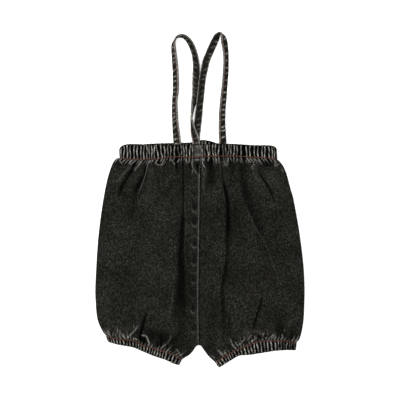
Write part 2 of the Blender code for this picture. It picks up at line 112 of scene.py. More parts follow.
STITCH_PITCH = 0.0029
STITCH_LENGTH = 0.0027
STITCH_RADIUS = 0.00068
STRAP_STITCH_RADIUS = 0.00034
STITCH_SIDES = 6
LOWEST_STITCH = 0.00004
STITCH_PROFILE = ((0.0, 0.25), (0.10, 0.80), (0.35, 1.0), (0.65, 1.0), (0.90, 0.80), (1.0, 0.25))

# Grain of the denim, as noise scales

YARN_DRAWN = (1.25, 0.85, 1.0)
FINE_SCALE = 1000.0
COARSE_SCALE = 420.0
CLOUD_SCALE = 26.0
TINT_SCALE = 410.0
TWILL_SCALE = 420.0
SPECK_SCALE = 880.0

# Light, floor and camera

KEY_POWER = 17.0
FILL_POWER = 5.0
SKY_STRENGTH = 0.62
FLOOR_DROP = 0.0001
FLOOR_SHADE = 0.93
FLOOR_GLOW = 0.60
LENS = 85.0
CAMERA_HEIGHT = 1.2585

# Outlines, one row per point: x, y

WAIST_TOP = (
    (-0.1074, 0.0675),
    (-0.1062, 0.0700),
    (-0.1030, 0.0724),
    (-0.0960, 0.0742),
    (-0.0845, 0.0743),
    (-0.0700, 0.0738),
    (-0.0350, 0.0733),
    (0.0000, 0.0738),
    (0.0350, 0.0746),
    (0.0540, 0.0740),
    (0.0738, 0.0728),
    (0.0871, 0.0728),
    (0.0960, 0.0721),
    (0.1002, 0.0704),
    (0.1021, 0.0674),
)

BACK_WAIST_TOP = (
    (-0.1030, 0.0705),
    (-0.0655, 0.0748),
    (-0.0126, 0.0765),
    (0.0015, 0.0796),
    (0.0130, 0.0786),
    (0.0260, 0.0750),
    (0.0600, 0.0720),
    (0.1012, 0.0693),
)

WAIST_LINE = (
    (-0.1069, 0.0551),
    (-0.0927, 0.0530),
    (-0.0795, 0.0526),
    (-0.0620, 0.0532),
    (-0.0450, 0.0552),
    (-0.0318, 0.0562),
    (-0.0185, 0.0559),
    (-0.0105, 0.0554),
    (0.0007, 0.0567),
    (0.0200, 0.0568),
    (0.0464, 0.0569),
    (0.0730, 0.0556),
    (0.1027, 0.0540),
)

SIDE_LEFT = (
    (-0.1069, 0.0551),
    (-0.1096, 0.0560),
    (-0.1137, 0.0528),
    (-0.1165, 0.0482),
    (-0.1194, 0.0405),
    (-0.1234, 0.0272),
    (-0.1282, 0.0033),
    (-0.1318, -0.0206),
    (-0.1348, -0.0446),
    (-0.1368, -0.0685),
    (-0.1382, -0.0924),
    (-0.1393, -0.1164),
    (-0.1392, -0.1283),
    (-0.1375, -0.1523),
    (-0.1346, -0.1643),
    (-0.1299, -0.1741),
    (-0.1250, -0.1808),
)

SIDE_RIGHT = (
    (0.1027, 0.0540),
    (0.1051, 0.0524),
    (0.1085, 0.0486),
    (0.1112, 0.0442),
    (0.1151, 0.0350),
    (0.1204, 0.0153),
    (0.1239, 0.0033),
    (0.1285, -0.0206),
    (0.1325, -0.0446),
    (0.1357, -0.0685),
    (0.1381, -0.0924),
    (0.1392, -0.1164),
    (0.1391, -0.1283),
    (0.1383, -0.1523),
    (0.1372, -0.1643),
    (0.1350, -0.1762),
    (0.1323, -0.1850),
    (0.1286, -0.1893),
)

CENTRE_SEAM = (
    (0.0007, 0.0567),
    (-0.0008, 0.0250),
    (-0.0016, -0.0500),
    (-0.0026, -0.1200),
    (-0.0024, -0.1700),
    (-0.0016, -0.1935),
)

INSEAM_LEFT = (
    (-0.0016, -0.1935),
    (-0.0036, -0.1936),
    (-0.0056, -0.1952),
    (-0.0093, -0.2008),
    (-0.0144, -0.2061),
    (-0.0194, -0.2091),
    (-0.0240, -0.2120),
)

INSEAM_RIGHT = (
    (-0.0016, -0.1935),
    (0.0008, -0.1937),
    (0.0028, -0.1960),
    (0.0047, -0.1990),
    (0.0118, -0.2082),
    (0.0196, -0.2152),
)

CUFF_LINE_LEFT = (
    (-0.1250, -0.1808),
    (-0.1170, -0.1824),
    (-0.1050, -0.1843),
    (-0.0931, -0.1852),
    (-0.0865, -0.1868),
    (-0.0798, -0.1905),
    (-0.0700, -0.1940),
    (-0.0532, -0.1988),
    (-0.0426, -0.2018),
    (-0.0333, -0.2058),
    (-0.0240, -0.2120),
)

CUFF_EDGE_LEFT = (
    (-0.1224, -0.1882),
    (-0.1170, -0.1901),
    (-0.1064, -0.1926),
    (-0.0890, -0.1956),
    (-0.0771, -0.2005),
    (-0.0612, -0.2071),
    (-0.0452, -0.2125),
    (-0.0360, -0.2169),
    (-0.0279, -0.2196),
)

CUFF_LINE_RIGHT = (
    (0.1286, -0.1893),
    (0.1165, -0.1869),
    (0.1020, -0.1857),
    (0.0825, -0.1866),
    (0.0718, -0.1886),
    (0.0612, -0.1933),
    (0.0466, -0.1993),
    (0.0306, -0.2086),
    (0.0196, -0.2152),
)

CUFF_EDGE_RIGHT = (
    (0.1272, -0.1995),
    (0.1144, -0.1990),
    (0.0998, -0.1995),
    (0.0904, -0.2002),
    (0.0798, -0.2013),
    (0.0692, -0.2029),
    (0.0592, -0.2051),
    (0.0510, -0.2071),
    (0.0410, -0.2129),
    (0.0319, -0.2187),
    (0.0250, -0.2228),
)

# How high the inside of the front waist casing lies, over the strap ends: x, height

BAND_LIFT = (
    (-0.1070, 0.0028),
    (-0.0600, 0.0036),
    (-0.0380, 0.0047),
    (-0.0220, 0.0047),
    (-0.0120, 0.0058),
    (-0.0102, 0.0066),
    (0.0020, 0.0066),
    (0.0060, 0.0050),
    (0.0220, 0.0047),
    (0.0380, 0.0047),
    (0.0600, 0.0036),
    (0.1030, 0.0028),
)

# How much further the back right cuff hangs below the front one: share of its length, drop

BACK_CUFF_DROP = (
    (0.00, 0.0003),
    (0.12, 0.0006),
    (0.25, 0.0010),
    (0.35, 0.0019),
    (0.45, 0.0025),
    (0.55, 0.0026),
    (0.63, 0.0014),
    (0.72, 0.0000),
    (1.00, 0.0000),
)

# Straps, one row per section: x, y, height of the lowest edge, roll in degrees, thickness

STRAP_LEFT = (
    (-0.0303, 0.0620, 0.0027, 0, 0.0016),
    (-0.0303, 0.0728, 0.0027, 0, 0.0016),
    (-0.0306, 0.0804, 0.0024, 6, 0.0018),
    (-0.0325, 0.0995, 0.0002, 34, 0.0022),
    (-0.0335, 0.1185, 0.0002, 42, 0.0022),
    (-0.0334, 0.1325, 0.0002, 47, 0.0022),
    (-0.0321, 0.1460, 0.0002, 39, 0.0022),
    (-0.0322, 0.1630, 0.0002, 40, 0.0022),
    (-0.0329, 0.1784, 0.0002, 42, 0.0022),
    (-0.0345, 0.1949, 0.0002, 51, 0.0023),
    (-0.0352, 0.2060, 0.0002, 62, 0.0024),
    (-0.0336, 0.2116, 0.0002, 78, 0.0027),
    (-0.0308, 0.2160, 0.0002, 84, 0.0034),
    (-0.0257, 0.2178, 0.0002, 94, 0.0038),
    (-0.0205, 0.2167, 0.0002, 106, 0.0037),
    (-0.0158, 0.2125, 0.0002, 120, 0.0033),
    (-0.0118, 0.2063, 0.0002, 130, 0.0028),
    (-0.0081, 0.1969, 0.0002, 134, 0.0025),
    (-0.0062, 0.1887, 0.0002, 142, 0.0023),
    (-0.0050, 0.1785, 0.0002, 156, 0.0022),
    (-0.0051, 0.1703, 0.0002, 171, 0.0022),
    (-0.0055, 0.1580, 0.0002, 179, 0.0022),
    (-0.0056, 0.1461, 0.0002, 180, 0.0022),
    (-0.0060, 0.1390, 0.0002, 188, 0.0022),
    (-0.0068, 0.1328, 0.0002, 205, 0.0022),
    (-0.0090, 0.1263, 0.0002, 240, 0.0026),
    (-0.0103, 0.1180, 0.0002, 256, 0.0031),
    (-0.0111, 0.1097, 0.0002, 269, 0.0032),
    (-0.0103, 0.1012, 0.0002, 288, 0.0028),
    (-0.0090, 0.0930, 0.0008, 312, 0.0020),
    (-0.0079, 0.0880, 0.0020, 328, 0.0018),
    (-0.0069, 0.0845, 0.0035, 341, 0.0017),
    (-0.0057, 0.0800, 0.0045, 352, 0.0016),
    (-0.0050, 0.0760, 0.0047, 359, 0.0016),
    (-0.0049, 0.0710, 0.0047, 360, 0.0016),
    (-0.0049, 0.0620, 0.0047, 360, 0.0016),
)

STRAP_RIGHT = (
    (0.0302, 0.0620, 0.0027, 0, 0.0016),
    (0.0302, 0.0725, 0.0027, 0, 0.0016),
    (0.0300, 0.0804, 0.0024, 6, 0.0018),
    (0.0293, 0.0995, 0.0002, 28, 0.0022),
    (0.0297, 0.1185, 0.0002, 34, 0.0022),
    (0.0313, 0.1374, 0.0002, 38, 0.0022),
    (0.0321, 0.1460, 0.0002, 42, 0.0022),
    (0.0332, 0.1578, 0.0002, 46, 0.0022),
    (0.0341, 0.1701, 0.0002, 44, 0.0022),
    (0.0345, 0.1817, 0.0002, 48, 0.0022),
    (0.0342, 0.1948, 0.0002, 44, 0.0022),
    (0.0330, 0.2046, 0.0002, 37, 0.0022),
    (0.0320, 0.2110, 0.0002, 35, 0.0023),
    (0.0307, 0.2170, 0.0002, 56, 0.0025),
    (0.0272, 0.2212, 0.0002, 92, 0.0028),
    (0.0228, 0.2175, 0.0002, 132, 0.0026),
    (0.0198, 0.2117, 0.0002, 155, 0.0023),
    (0.0158, 0.2030, 0.0002, 164, 0.0022),
    (0.0123, 0.1950, 0.0002, 166, 0.0022),
    (0.0084, 0.1852, 0.0002, 166, 0.0022),
    (0.0052, 0.1711, 0.0002, 160, 0.0022),
    (0.0030, 0.1596, 0.0002, 156, 0.0022),
    (0.0013, 0.1430, 0.0002, 156, 0.0022),
    (-0.0005, 0.1263, 0.0002, 160, 0.0022),
    (-0.0013, 0.1180, 0.0002, 165, 0.0022),
    (-0.0020, 0.1097, 0.0002, 172, 0.0022),
    (-0.0034, 0.0972, 0.0002, 178, 0.0022),
    (-0.0043, 0.0900, 0.0006, 180, 0.0020),
    (-0.0049, 0.0845, 0.0018, 180, 0.0018),
    (-0.0051, 0.0800, 0.0027, 180, 0.0016),
    (-0.0050, 0.0710, 0.0027, 180, 0.0016),
    (-0.0049, 0.0620, 0.0027, 180, 0.0016),
)

# Gathers of the front waist casing: x at the top edge, x at the stitch line, how worn the crest is

WAIST_GATHERS = (
    (-0.1047, -0.1052, 0.80),
    (-0.1004, -0.1013, 0.85),
    (-0.0966, -0.0964, 0.88),
    (-0.0928, -0.0924, 0.60),
    (-0.0871, -0.0877, 0.75),
    (-0.0833, -0.0833, 0.85),
    (-0.0785, -0.0781, 0.70),
    (-0.0742, -0.0746, 0.62),
    (-0.0706, -0.0701, 0.55),
    (-0.0674, -0.0672, 0.55),
    (-0.0641, -0.0636, 0.68),
    (-0.0605, -0.0606, 0.75),
    (-0.0580, -0.0551, 0.85),
    (-0.0527, -0.0501, 0.75),
    (-0.0473, -0.0462, 0.80),
    (-0.0427, -0.0427, 0.50),
    (-0.0388, -0.0387, 0.55),
    (-0.0339, -0.0338, 0.62),
    (-0.0300, -0.0273, 0.26),
    (-0.0247, -0.0243, 0.44),
    (-0.0221, -0.0207, 0.58),
    (-0.0182, -0.0181, 0.66),
    (-0.0125, -0.0140, 0.85),
    (-0.0100, -0.0098, 0.48),
    (0.0028, 0.0029, 0.72),
    (0.0062, 0.0063, 0.30),
    (0.0090, 0.0114, 0.92),
    (0.0128, 0.0124, 0.50),
    (0.0165, 0.0176, 0.62),
    (0.0203, 0.0206, 0.62),
    (0.0249, 0.0245, 0.74),
    (0.0300, 0.0308, 0.34),
    (0.0339, 0.0343, 0.34),
    (0.0388, 0.0370, 0.48),
    (0.0419, 0.0400, 0.50),
    (0.0459, 0.0446, 0.66),
    (0.0496, 0.0488, 0.54),
    (0.0548, 0.0540, 0.66),
    (0.0614, 0.0618, 0.86),
    (0.0661, 0.0661, 0.80),
    (0.0717, 0.0724, 0.66),
    (0.0765, 0.0770, 0.74),
    (0.0830, 0.0818, 0.66),
    (0.0861, 0.0858, 0.86),
    (0.0911, 0.0922, 0.74),
    (0.0952, 0.0963, 0.74),
    (0.0979, 0.0995, 0.50),
    (0.1012, 0.1022, 0.40),
)

# Ungathered stretch of the front waist casing over the centre seam

SMOOTH_STRETCH = (-0.0082, 0.0034)

# Folds and creases of the front panels. Each row: points, half width to the left, half width to the right,
# how far it widens to its end, height, wear of the crest, dark dye with painted shade in the trough.

FOLDS = (
    (((-0.0225, 0.0550), (-0.0225, 0.0265), (-0.0225, -0.0066), (-0.0231, -0.0331),
      (-0.0241, -0.0610)), 0.0009, 0.0009, 1.3, -0.0012, 0.00, 1.00),
    (((-0.0245, 0.0490), (-0.0245, -0.0066), (-0.0258, -0.0331),
      (-0.0278, -0.0663)), 0.0040, 0.0030, 1.6, -0.0011, 0.00, 0.30),
    (((-0.0223, -0.0159), (-0.0236, -0.0371), (-0.0246, -0.0557), (-0.0256, -0.0755),
      (-0.0245, -0.0967), (-0.0252, -0.1193), (-0.0252, -0.1392), (-0.0252, -0.1696)),
      0.0017, 0.0019, 6.5, -0.0022, 0.00, 0.90),
    (((-0.0172, -0.0504), (-0.0159, -0.0795), (-0.0146, -0.1126),
      (-0.0133, -0.1405)), 0.0030, 0.0050, 1.2, -0.0009, 0.00, 0.45),
    (((-0.0358, -0.1193), (-0.0364, -0.1299), (-0.0398, -0.1431), (-0.0398, -0.1524),
      (-0.0437, -0.1617)), 0.0011, 0.0011, 1.0, 0.0007, 0.13, 0.00),
    (((-0.0384, -0.1789), (-0.0411, -0.1869), (-0.0477, -0.1935),
      (-0.0530, -0.1968)), 0.0011, 0.0011, 1.0, 0.0007, 0.24, 0.00),
    (((-0.1080, 0.0563), (-0.1133, 0.0504)), 0.0008, 0.0008, 1.0, 0.0009, 0.80, 0.00),
    (((-0.1073, 0.0543), (-0.1034, 0.0477)), 0.0008, 0.0008, 1.0, 0.0008, 0.55, 0.00),
    (((-0.0914, 0.0530), (-0.0941, 0.0464)), 0.0009, 0.0009, 1.0, 0.0009, 0.75, 0.00),
    (((-0.0875, 0.0517), (-0.0928, 0.0457)), 0.0008, 0.0008, 1.0, 0.0008, 0.55, 0.00),
    (((-0.0914, 0.0437), (-0.1007, 0.0358), (-0.1073, 0.0265),
      (-0.1166, 0.0239)), 0.0022, 0.0022, 1.0, 0.0013, 0.13, 0.00),
    (((-0.0848, 0.0504), (-0.0908, 0.0398), (-0.0981, 0.0278), (-0.1040, 0.0172),
      (-0.1087, 0.0027)), 0.0019, 0.0022, 1.8, -0.0016, 0.00, 0.90),
    (((-0.0967, 0.0550), (-0.1001, 0.0437)), 0.0017, 0.0017, 1.0, -0.0009, 0.00, 0.80),
    (((-0.0775, 0.0504), (-0.0848, 0.0424), (-0.0875, 0.0371)), 0.0018, 0.0020, 1.0, 0.0011, 0.26, 0.00),
    (((-0.0782, 0.0451), (-0.0769, 0.0292)), 0.0040, 0.0040, 1.0, 0.0003, 0.05, 0.00),
    (((-0.0716, 0.0517), (-0.0729, 0.0398), (-0.0769, 0.0292), (-0.0822, 0.0186),
      (-0.0888, 0.0040)), 0.0014, 0.0017, 2.6, -0.0016, 0.00, 0.92),
    (((-0.0636, 0.0543), (-0.0689, 0.0490), (-0.0709, 0.0398), (-0.0742, 0.0278),
      (-0.0782, 0.0172), (-0.0835, 0.0027)), 0.0009, 0.0009, 1.0, 0.0012, 0.34, 0.00),
    (((-0.0636, 0.0543), (-0.0576, 0.0530), (-0.0583, 0.0484), (-0.0530, 0.0464),
      (-0.0470, 0.0490), (-0.0464, 0.0543)), 0.0008, 0.0008, 1.0, 0.0009, 0.60, 0.00),
    (((-0.0570, 0.0497), (-0.0523, 0.0497)), 0.0016, 0.0016, 1.0, -0.0009, 0.00, 0.95),
    (((-0.0457, 0.0530), (-0.0457, 0.0451)), 0.0007, 0.0007, 1.0, -0.0007, 0.00, 0.85),
    (((-0.0384, 0.0543), (-0.0331, 0.0464)), 0.0009, 0.0009, 1.0, 0.0009, 0.70, 0.00),
    (((-0.0311, 0.0537), (-0.0307, 0.0371)), 0.0018, 0.0018, 1.0, -0.0009, 0.00, 0.85),
    (((-0.0272, 0.0543), (-0.0305, 0.0490)), 0.0009, 0.0009, 1.0, 0.0009, 0.65, 0.00),
    (((-0.0186, 0.0530), (-0.0152, 0.0490)), 0.0008, 0.0008, 1.0, 0.0008, 0.60, 0.00),
    (((-0.0133, 0.0530), (-0.0146, 0.0490)), 0.0008, 0.0008, 1.0, 0.0008, 0.60, 0.00),
    (((-0.1007, 0.0550), (-0.0994, 0.0490)), 0.0015, 0.0015, 1.0, -0.0008, 0.00, 0.85),
    (((-0.0822, 0.0537), (-0.0835, 0.0477)), 0.0014, 0.0014, 1.0, -0.0008, 0.00, 0.80),
    (((-0.0683, 0.0550), (-0.0729, 0.0490)), 0.0012, 0.0012, 1.0, -0.0008, 0.00, 0.80),
    (((-0.0411, 0.0557), (-0.0404, 0.0464)), 0.0013, 0.0013, 1.0, -0.0008, 0.00, 0.80),
    (((-0.0702, -0.1763), (-0.0464, -0.1829),
      (-0.0186, -0.1922)), 0.0085, 0.0085, 1.0, -0.0010, 0.00, 0.60),
    (((-0.0252, -0.1564), (-0.0252, -0.1935)), 0.0080, 0.0080, 1.0, -0.0006, 0.00, 0.42),
    (((-0.0729, 0.0464), (-0.0822, 0.0133), (-0.0914, -0.0133),
      (-0.1007, -0.0424)), 0.0040, 0.0050, 1.2, -0.0008, 0.00, 0.32),
    (((-0.0649, 0.0477), (-0.0676, 0.0199), (-0.0742, -0.0106)), 0.0050, 0.0060, 1.0, 0.0004, 0.06, 0.00),
    (((-0.0510, -0.1736), (-0.0523, -0.1988)), 0.0018, 0.0022, 1.0, -0.0009, 0.00, 0.85),
    (((-0.1206, -0.1736), (-0.1213, -0.1809)), 0.0008, 0.0008, 1.0, 0.0007, 0.50, 0.00),
    (((-0.1153, -0.1749), (-0.1158, -0.1822)), 0.0008, 0.0008, 1.0, 0.0007, 0.45, 0.00),
    (((-0.1113, -0.1763), (-0.1119, -0.1829)), 0.0007, 0.0007, 1.0, 0.0007, 0.55, 0.00),
    (((-0.1066, -0.1743), (-0.1063, -0.1835)), 0.0008, 0.0008, 1.0, 0.0007, 0.48, 0.00),
    (((-0.1015, -0.1763), (-0.1007, -0.1842)), 0.0008, 0.0008, 1.0, 0.0007, 0.50, 0.00),
    (((-0.1246, -0.1763), (-0.1087, -0.1782), (-0.0914, -0.1802)), 0.0030, 0.0030, 1.0, 0.0004, 0.07, 0.00),
    (((-0.0716, -0.1511), (-0.0751, -0.1643), (-0.0782, -0.1763),
      (-0.0789, -0.1935)), 0.0013, 0.0015, 2.2, -0.0015, 0.00, 1.00),
    (((-0.0983, -0.1849), (-0.0921, -0.1789), (-0.0861, -0.1723),
      (-0.0802, -0.1637)), 0.0011, 0.0011, 1.0, 0.0009, 0.62, 0.00),
    (((-0.1067, -0.1723), (-0.1027, -0.1802), (-0.0987, -0.1849)), 0.0010, 0.0010, 1.0, 0.0009, 0.62, 0.00),
    (((-0.1162, -0.1696), (-0.1162, -0.1749)), 0.0022, 0.0022, 1.0, -0.0007, 0.00, 0.75),
    (((-0.1246, -0.1723), (-0.1060, -0.1723), (-0.0888, -0.1736)), 0.0050, 0.0050, 1.0, 0.0003, 0.07, 0.00),
    (((-0.0875, -0.1650), (-0.0877, -0.1710)), 0.0008, 0.0008, 1.0, 0.0009, 0.45, 0.00),
    (((-0.1113, -0.1683), (-0.1093, -0.1723), (-0.1100, -0.1776)), 0.0008, 0.0008, 1.0, 0.0008, 0.55, 0.00),
    (((-0.1219, -0.1723), (-0.1239, -0.1776)), 0.0008, 0.0008, 1.0, 0.0008, 0.55, 0.00),
    (((-0.0775, -0.1796), (-0.0716, -0.1802), (-0.0689, -0.1855),
      (-0.0663, -0.1935)), 0.0012, 0.0012, 1.0, 0.0010, 0.80, 0.00),
    (((-0.0742, -0.1829), (-0.0729, -0.1908)), 0.0017, 0.0017, 1.0, -0.0009, 0.00, 0.90),
    (((-0.0596, -0.1458), (-0.0676, -0.1524), (-0.0722, -0.1604)), 0.0012, 0.0012, 1.0, 0.0006, 0.13, 0.00),
    (((-0.0318, -0.1975), (-0.0225, -0.2094)), 0.0012, 0.0012, 1.0, 0.0007, 0.30, 0.00),
    (((-0.0875, -0.1835), (-0.0822, -0.1855)), 0.0010, 0.0010, 1.0, 0.0007, 0.70, 0.00),
    (((-0.1047, -0.1710), (-0.1020, -0.1816)), 0.0016, 0.0016, 1.0, -0.0008, 0.00, 0.70),
    (((-0.1166, -0.1710), (-0.1166, -0.1802)), 0.0014, 0.0014, 1.0, -0.0008, 0.00, 0.60),
    (((-0.0570, -0.1855), (-0.0557, -0.1961)), 0.0018, 0.0018, 1.0, -0.0008, 0.00, 0.60),
    (((-0.0437, -0.1895), (-0.0431, -0.2001)), 0.0016, 0.0016, 1.0, -0.0008, 0.00, 0.60),
    (((-0.1193, -0.1723), (-0.1232, -0.1325), (-0.1272, -0.0928)), 0.0030, 0.0030, 1.5, 0.0004, 0.03, 0.00),
    (((0.0285, 0.0504), (0.0305, 0.0265), (0.0335, 0.0133), (0.0360, 0.0000), (0.0371, -0.0199),
      (0.0371, -0.0424), (0.0364, -0.0663)), 0.0009, 0.0016, 4.5, -0.0018, 0.00, 1.00),
    (((0.0364, -0.0424), (0.0358, -0.0729), (0.0331, -0.0954), (0.0288, -0.1193),
      (0.0305, -0.1458), (0.0325, -0.1802)), 0.0015, 0.0042, 1.5, -0.0016, 0.00, 0.74),
    (((0.0557, 0.0517), (0.0570, 0.0265), (0.0636, 0.0000), (0.0769, -0.0331),
      (0.0901, -0.0716)), 0.0055, 0.0075, 1.0, -0.0017, 0.00, 0.60),
    (((0.0610, -0.0106), (0.0755, -0.0398), (0.0884, -0.0619), (0.0994, -0.0928),
      (0.1083, -0.1126)), 0.0010, 0.0010, 1.0, 0.0007, 0.12, 0.00),
    (((0.0755, 0.0517), (0.0782, 0.0358), (0.0848, 0.0265), (0.0941, 0.0106),
      (0.0994, -0.0040)), 0.0010, 0.0015, 1.8, -0.0014, 0.00, 0.95),
    (((0.0139, 0.0530), (0.0152, 0.0133)), 0.0055, 0.0055, 1.0, -0.0006, 0.00, 0.62),
    (((0.0417, 0.0530), (0.0437, 0.0318)), 0.0040, 0.0040, 1.0, -0.0005, 0.00, 0.50),
    (((0.0570, 0.0424), (0.0583, 0.0133)), 0.0040, 0.0050, 1.0, -0.0005, 0.00, 0.50),
    (((0.0292, 0.0490), (0.0325, 0.0186)), 0.0040, 0.0030, 1.0, 0.0003, 0.06, 0.00),
    (((0.0729, 0.0451), (0.0795, 0.0186)), 0.0050, 0.0050, 1.0, 0.0003, 0.07, 0.00),
    (((0.0808, 0.0457), (0.0967, 0.0457)), 0.0020, 0.0020, 1.0, -0.0006, 0.00, 0.50),
    (((0.0875, 0.0371), (0.0994, 0.0265), (0.1100, 0.0133)), 0.0080, 0.0080, 1.0, 0.0004, 0.06, 0.00),
    (((0.0212, 0.0497), (0.0398, 0.0497)), 0.0023, 0.0023, 1.0, 0.0005, 0.09, 0.00),
    (((0.0252, 0.0543), (0.0239, 0.0477)), 0.0007, 0.0007, 1.0, 0.0007, 0.50, 0.00),
    (((0.0305, 0.0523), (0.0331, 0.0470)), 0.0007, 0.0007, 1.0, 0.0007, 0.40, 0.00),
    (((0.0464, 0.0027), (0.0477, -0.0371)), 0.0050, 0.0050, 1.0, -0.0005, 0.00, 0.30),
    (((0.0822, -0.0133), (0.0835, -0.0358)), 0.0050, 0.0050, 1.0, -0.0004, 0.00, 0.28),
    (((0.0941, -0.0570), (0.0954, -0.0755)), 0.0050, 0.0050, 1.0, -0.0003, 0.00, 0.20),
    (((0.0061, 0.0570), (0.0036, 0.0486), (0.0076, 0.0417)), 0.0008, 0.0008, 1.0, 0.0009, 0.85, 0.00),
    (((0.0032, 0.0451), (0.0037, 0.0358), (0.0083, 0.0298)), 0.0008, 0.0008, 1.0, 0.0005, 0.36, 0.00),
    (((0.0073, 0.0424), (0.0049, 0.0265), (0.0053, 0.0080)), 0.0020, 0.0020, 1.0, 0.0005, 0.13, 0.00),
    (((0.0643, 0.0543), (0.0676, 0.0490)), 0.0008, 0.0008, 1.0, 0.0008, 0.75, 0.00),
    (((0.0702, 0.0543), (0.0729, 0.0530), (0.0702, 0.0490)), 0.0008, 0.0008, 1.0, 0.0008, 0.70, 0.00),
    (((0.0729, 0.0477), (0.0689, 0.0437), (0.0716, 0.0398)), 0.0010, 0.0010, 1.0, 0.0008, 0.50, 0.00),
    (((0.1007, 0.0523), (0.0994, 0.0451), (0.1073, 0.0490)), 0.0008, 0.0008, 1.0, 0.0008, 0.58, 0.00),
    (((0.1087, 0.0424), (0.1107, 0.0358)), 0.0012, 0.0012, 1.0, 0.0006, 0.45, 0.00),
    (((0.0106, 0.0550), (0.0106, 0.0504)), 0.0007, 0.0007, 1.0, 0.0008, 0.60, 0.00),
    (((0.0219, 0.0550), (0.0219, 0.0490)), 0.0008, 0.0008, 1.0, 0.0008, 0.60, 0.00),
    (((0.0371, 0.0550), (0.0364, 0.0477), (0.0292, 0.0451)), 0.0009, 0.0009, 1.0, 0.0008, 0.60, 0.00),
    (((0.0444, 0.0550), (0.0451, 0.0490)), 0.0007, 0.0007, 1.0, 0.0007, 0.45, 0.00),
    (((0.0490, 0.0550), (0.0490, 0.0497)), 0.0007, 0.0007, 1.0, 0.0007, 0.45, 0.00),
    (((0.0530, 0.0550), (0.0537, 0.0490)), 0.0007, 0.0007, 1.0, 0.0007, 0.45, 0.00),
    (((0.0610, 0.0543), (0.0616, 0.0490)), 0.0008, 0.0008, 1.0, 0.0008, 0.55, 0.00),
    (((0.0762, 0.0530), (0.0808, 0.0490)), 0.0008, 0.0008, 1.0, 0.0008, 0.60, 0.00),
    (((0.0848, 0.0543), (0.0855, 0.0504)), 0.0007, 0.0007, 1.0, 0.0007, 0.50, 0.00),
    (((0.0914, 0.0537), (0.0921, 0.0464)), 0.0015, 0.0015, 1.0, -0.0008, 0.00, 0.75),
    (((0.0570, 0.0550), (0.0574, 0.0477)), 0.0012, 0.0012, 1.0, -0.0008, 0.00, 0.75),
    (((0.0166, 0.0550), (0.0166, 0.0464)), 0.0014, 0.0014, 1.0, -0.0008, 0.00, 0.75),
    (((0.1073, -0.1551), (0.1073, -0.1882)), 0.0070, 0.0070, 1.0, -0.0007, 0.00, 0.44),
    (((0.0543, -0.1776), (0.0716, -0.1743), (0.0875, -0.1743)), 0.0033, 0.0033, 1.0, 0.0005, 0.08, 0.00),
    (((0.0530, -0.1816), (0.0550, -0.1895)), 0.0007, 0.0007, 1.0, 0.0007, 0.45, 0.00),
    (((0.0649, -0.1736), (0.0629, -0.1816)), 0.0007, 0.0007, 1.0, 0.0007, 0.45, 0.00),
    (((0.0789, -0.1736), (0.0802, -0.1802)), 0.0007, 0.0007, 1.0, 0.0007, 0.42, 0.00),
    (((0.0895, -0.1736), (0.0901, -0.1802)), 0.0007, 0.0007, 1.0, 0.0007, 0.42, 0.00),
    (((0.0152, -0.2067), (0.0205, -0.2107)), 0.0010, 0.0010, 1.0, 0.0008, 0.60, 0.00),
    (((0.0239, -0.1988), (0.0278, -0.2021), (0.0318, -0.2041),
      (0.0345, -0.1975)), 0.0010, 0.0010, 1.0, 0.0008, 0.60, 0.00),
    (((0.0398, -0.1842), (0.0451, -0.1961)), 0.0010, 0.0010, 1.0, 0.0008, 0.55, 0.00),
    (((0.0470, -0.1875), (0.0504, -0.1928), (0.0596, -0.1842),
      (0.0616, -0.1835)), 0.0009, 0.0009, 1.0, 0.0008, 0.60, 0.00),
    (((0.0570, -0.1802), (0.0603, -0.1842)), 0.0009, 0.0009, 1.0, 0.0008, 0.50, 0.00),
    (((0.0629, -0.1855), (0.0689, -0.1776)), 0.0009, 0.0009, 1.0, 0.0008, 0.60, 0.00),
    (((0.0676, -0.1882), (0.0729, -0.1842), (0.0716, -0.1789)), 0.0009, 0.0009, 1.0, 0.0008, 0.60, 0.00),
    (((0.0729, -0.1802), (0.0755, -0.1842)), 0.0008, 0.0008, 1.0, 0.0008, 0.50, 0.00),
    (((0.0822, -0.1789), (0.0848, -0.1763), (0.0822, -0.1829)), 0.0008, 0.0008, 1.0, 0.0008, 0.60, 0.00),
    (((0.0861, -0.1829), (0.0901, -0.1829)), 0.0010, 0.0010, 1.0, 0.0007, 0.50, 0.00),
    (((0.0928, -0.1829), (0.0981, -0.1776), (0.0967, -0.1842)), 0.0009, 0.0009, 1.0, 0.0008, 0.60, 0.00),
    (((0.1087, -0.1776), (0.1100, -0.1842)), 0.0009, 0.0009, 1.0, 0.0008, 0.55, 0.00),
    (((0.1120, -0.1710), (0.1122, -0.1749)), 0.0008, 0.0008, 1.0, 0.0006, 0.40, 0.00),
    (((0.0828, -0.1286), (0.0782, -0.1458), (0.0729, -0.1617),
      (0.0706, -0.1776)), 0.0013, 0.0019, 1.2, -0.0015, 0.00, 0.92),
    (((0.1040, -0.1617), (0.1040, -0.1789)), 0.0032, 0.0032, 1.0, -0.0006, 0.00, 0.50),
    (((0.1246, -0.1683), (0.1246, -0.1869)), 0.0055, 0.0055, 1.0, -0.0006, 0.00, 0.48),
    (((0.0391, -0.1498), (0.0391, -0.1829)), 0.0022, 0.0022, 1.0, -0.0008, 0.00, 0.55),
    (((0.0139, -0.1683), (0.0146, -0.2054)), 0.0060, 0.0060, 1.0, -0.0006, 0.00, 0.40),
    (((0.0789, -0.1802), (0.0789, -0.1869)), 0.0013, 0.0013, 1.0, -0.0007, 0.00, 0.80),
    (((0.0530, -0.1922), (0.0543, -0.1975)), 0.0013, 0.0013, 1.0, -0.0007, 0.00, 0.80),
    (((0.1027, -0.1789), (0.1034, -0.1855)), 0.0013, 0.0013, 1.0, -0.0007, 0.00, 0.80),
)
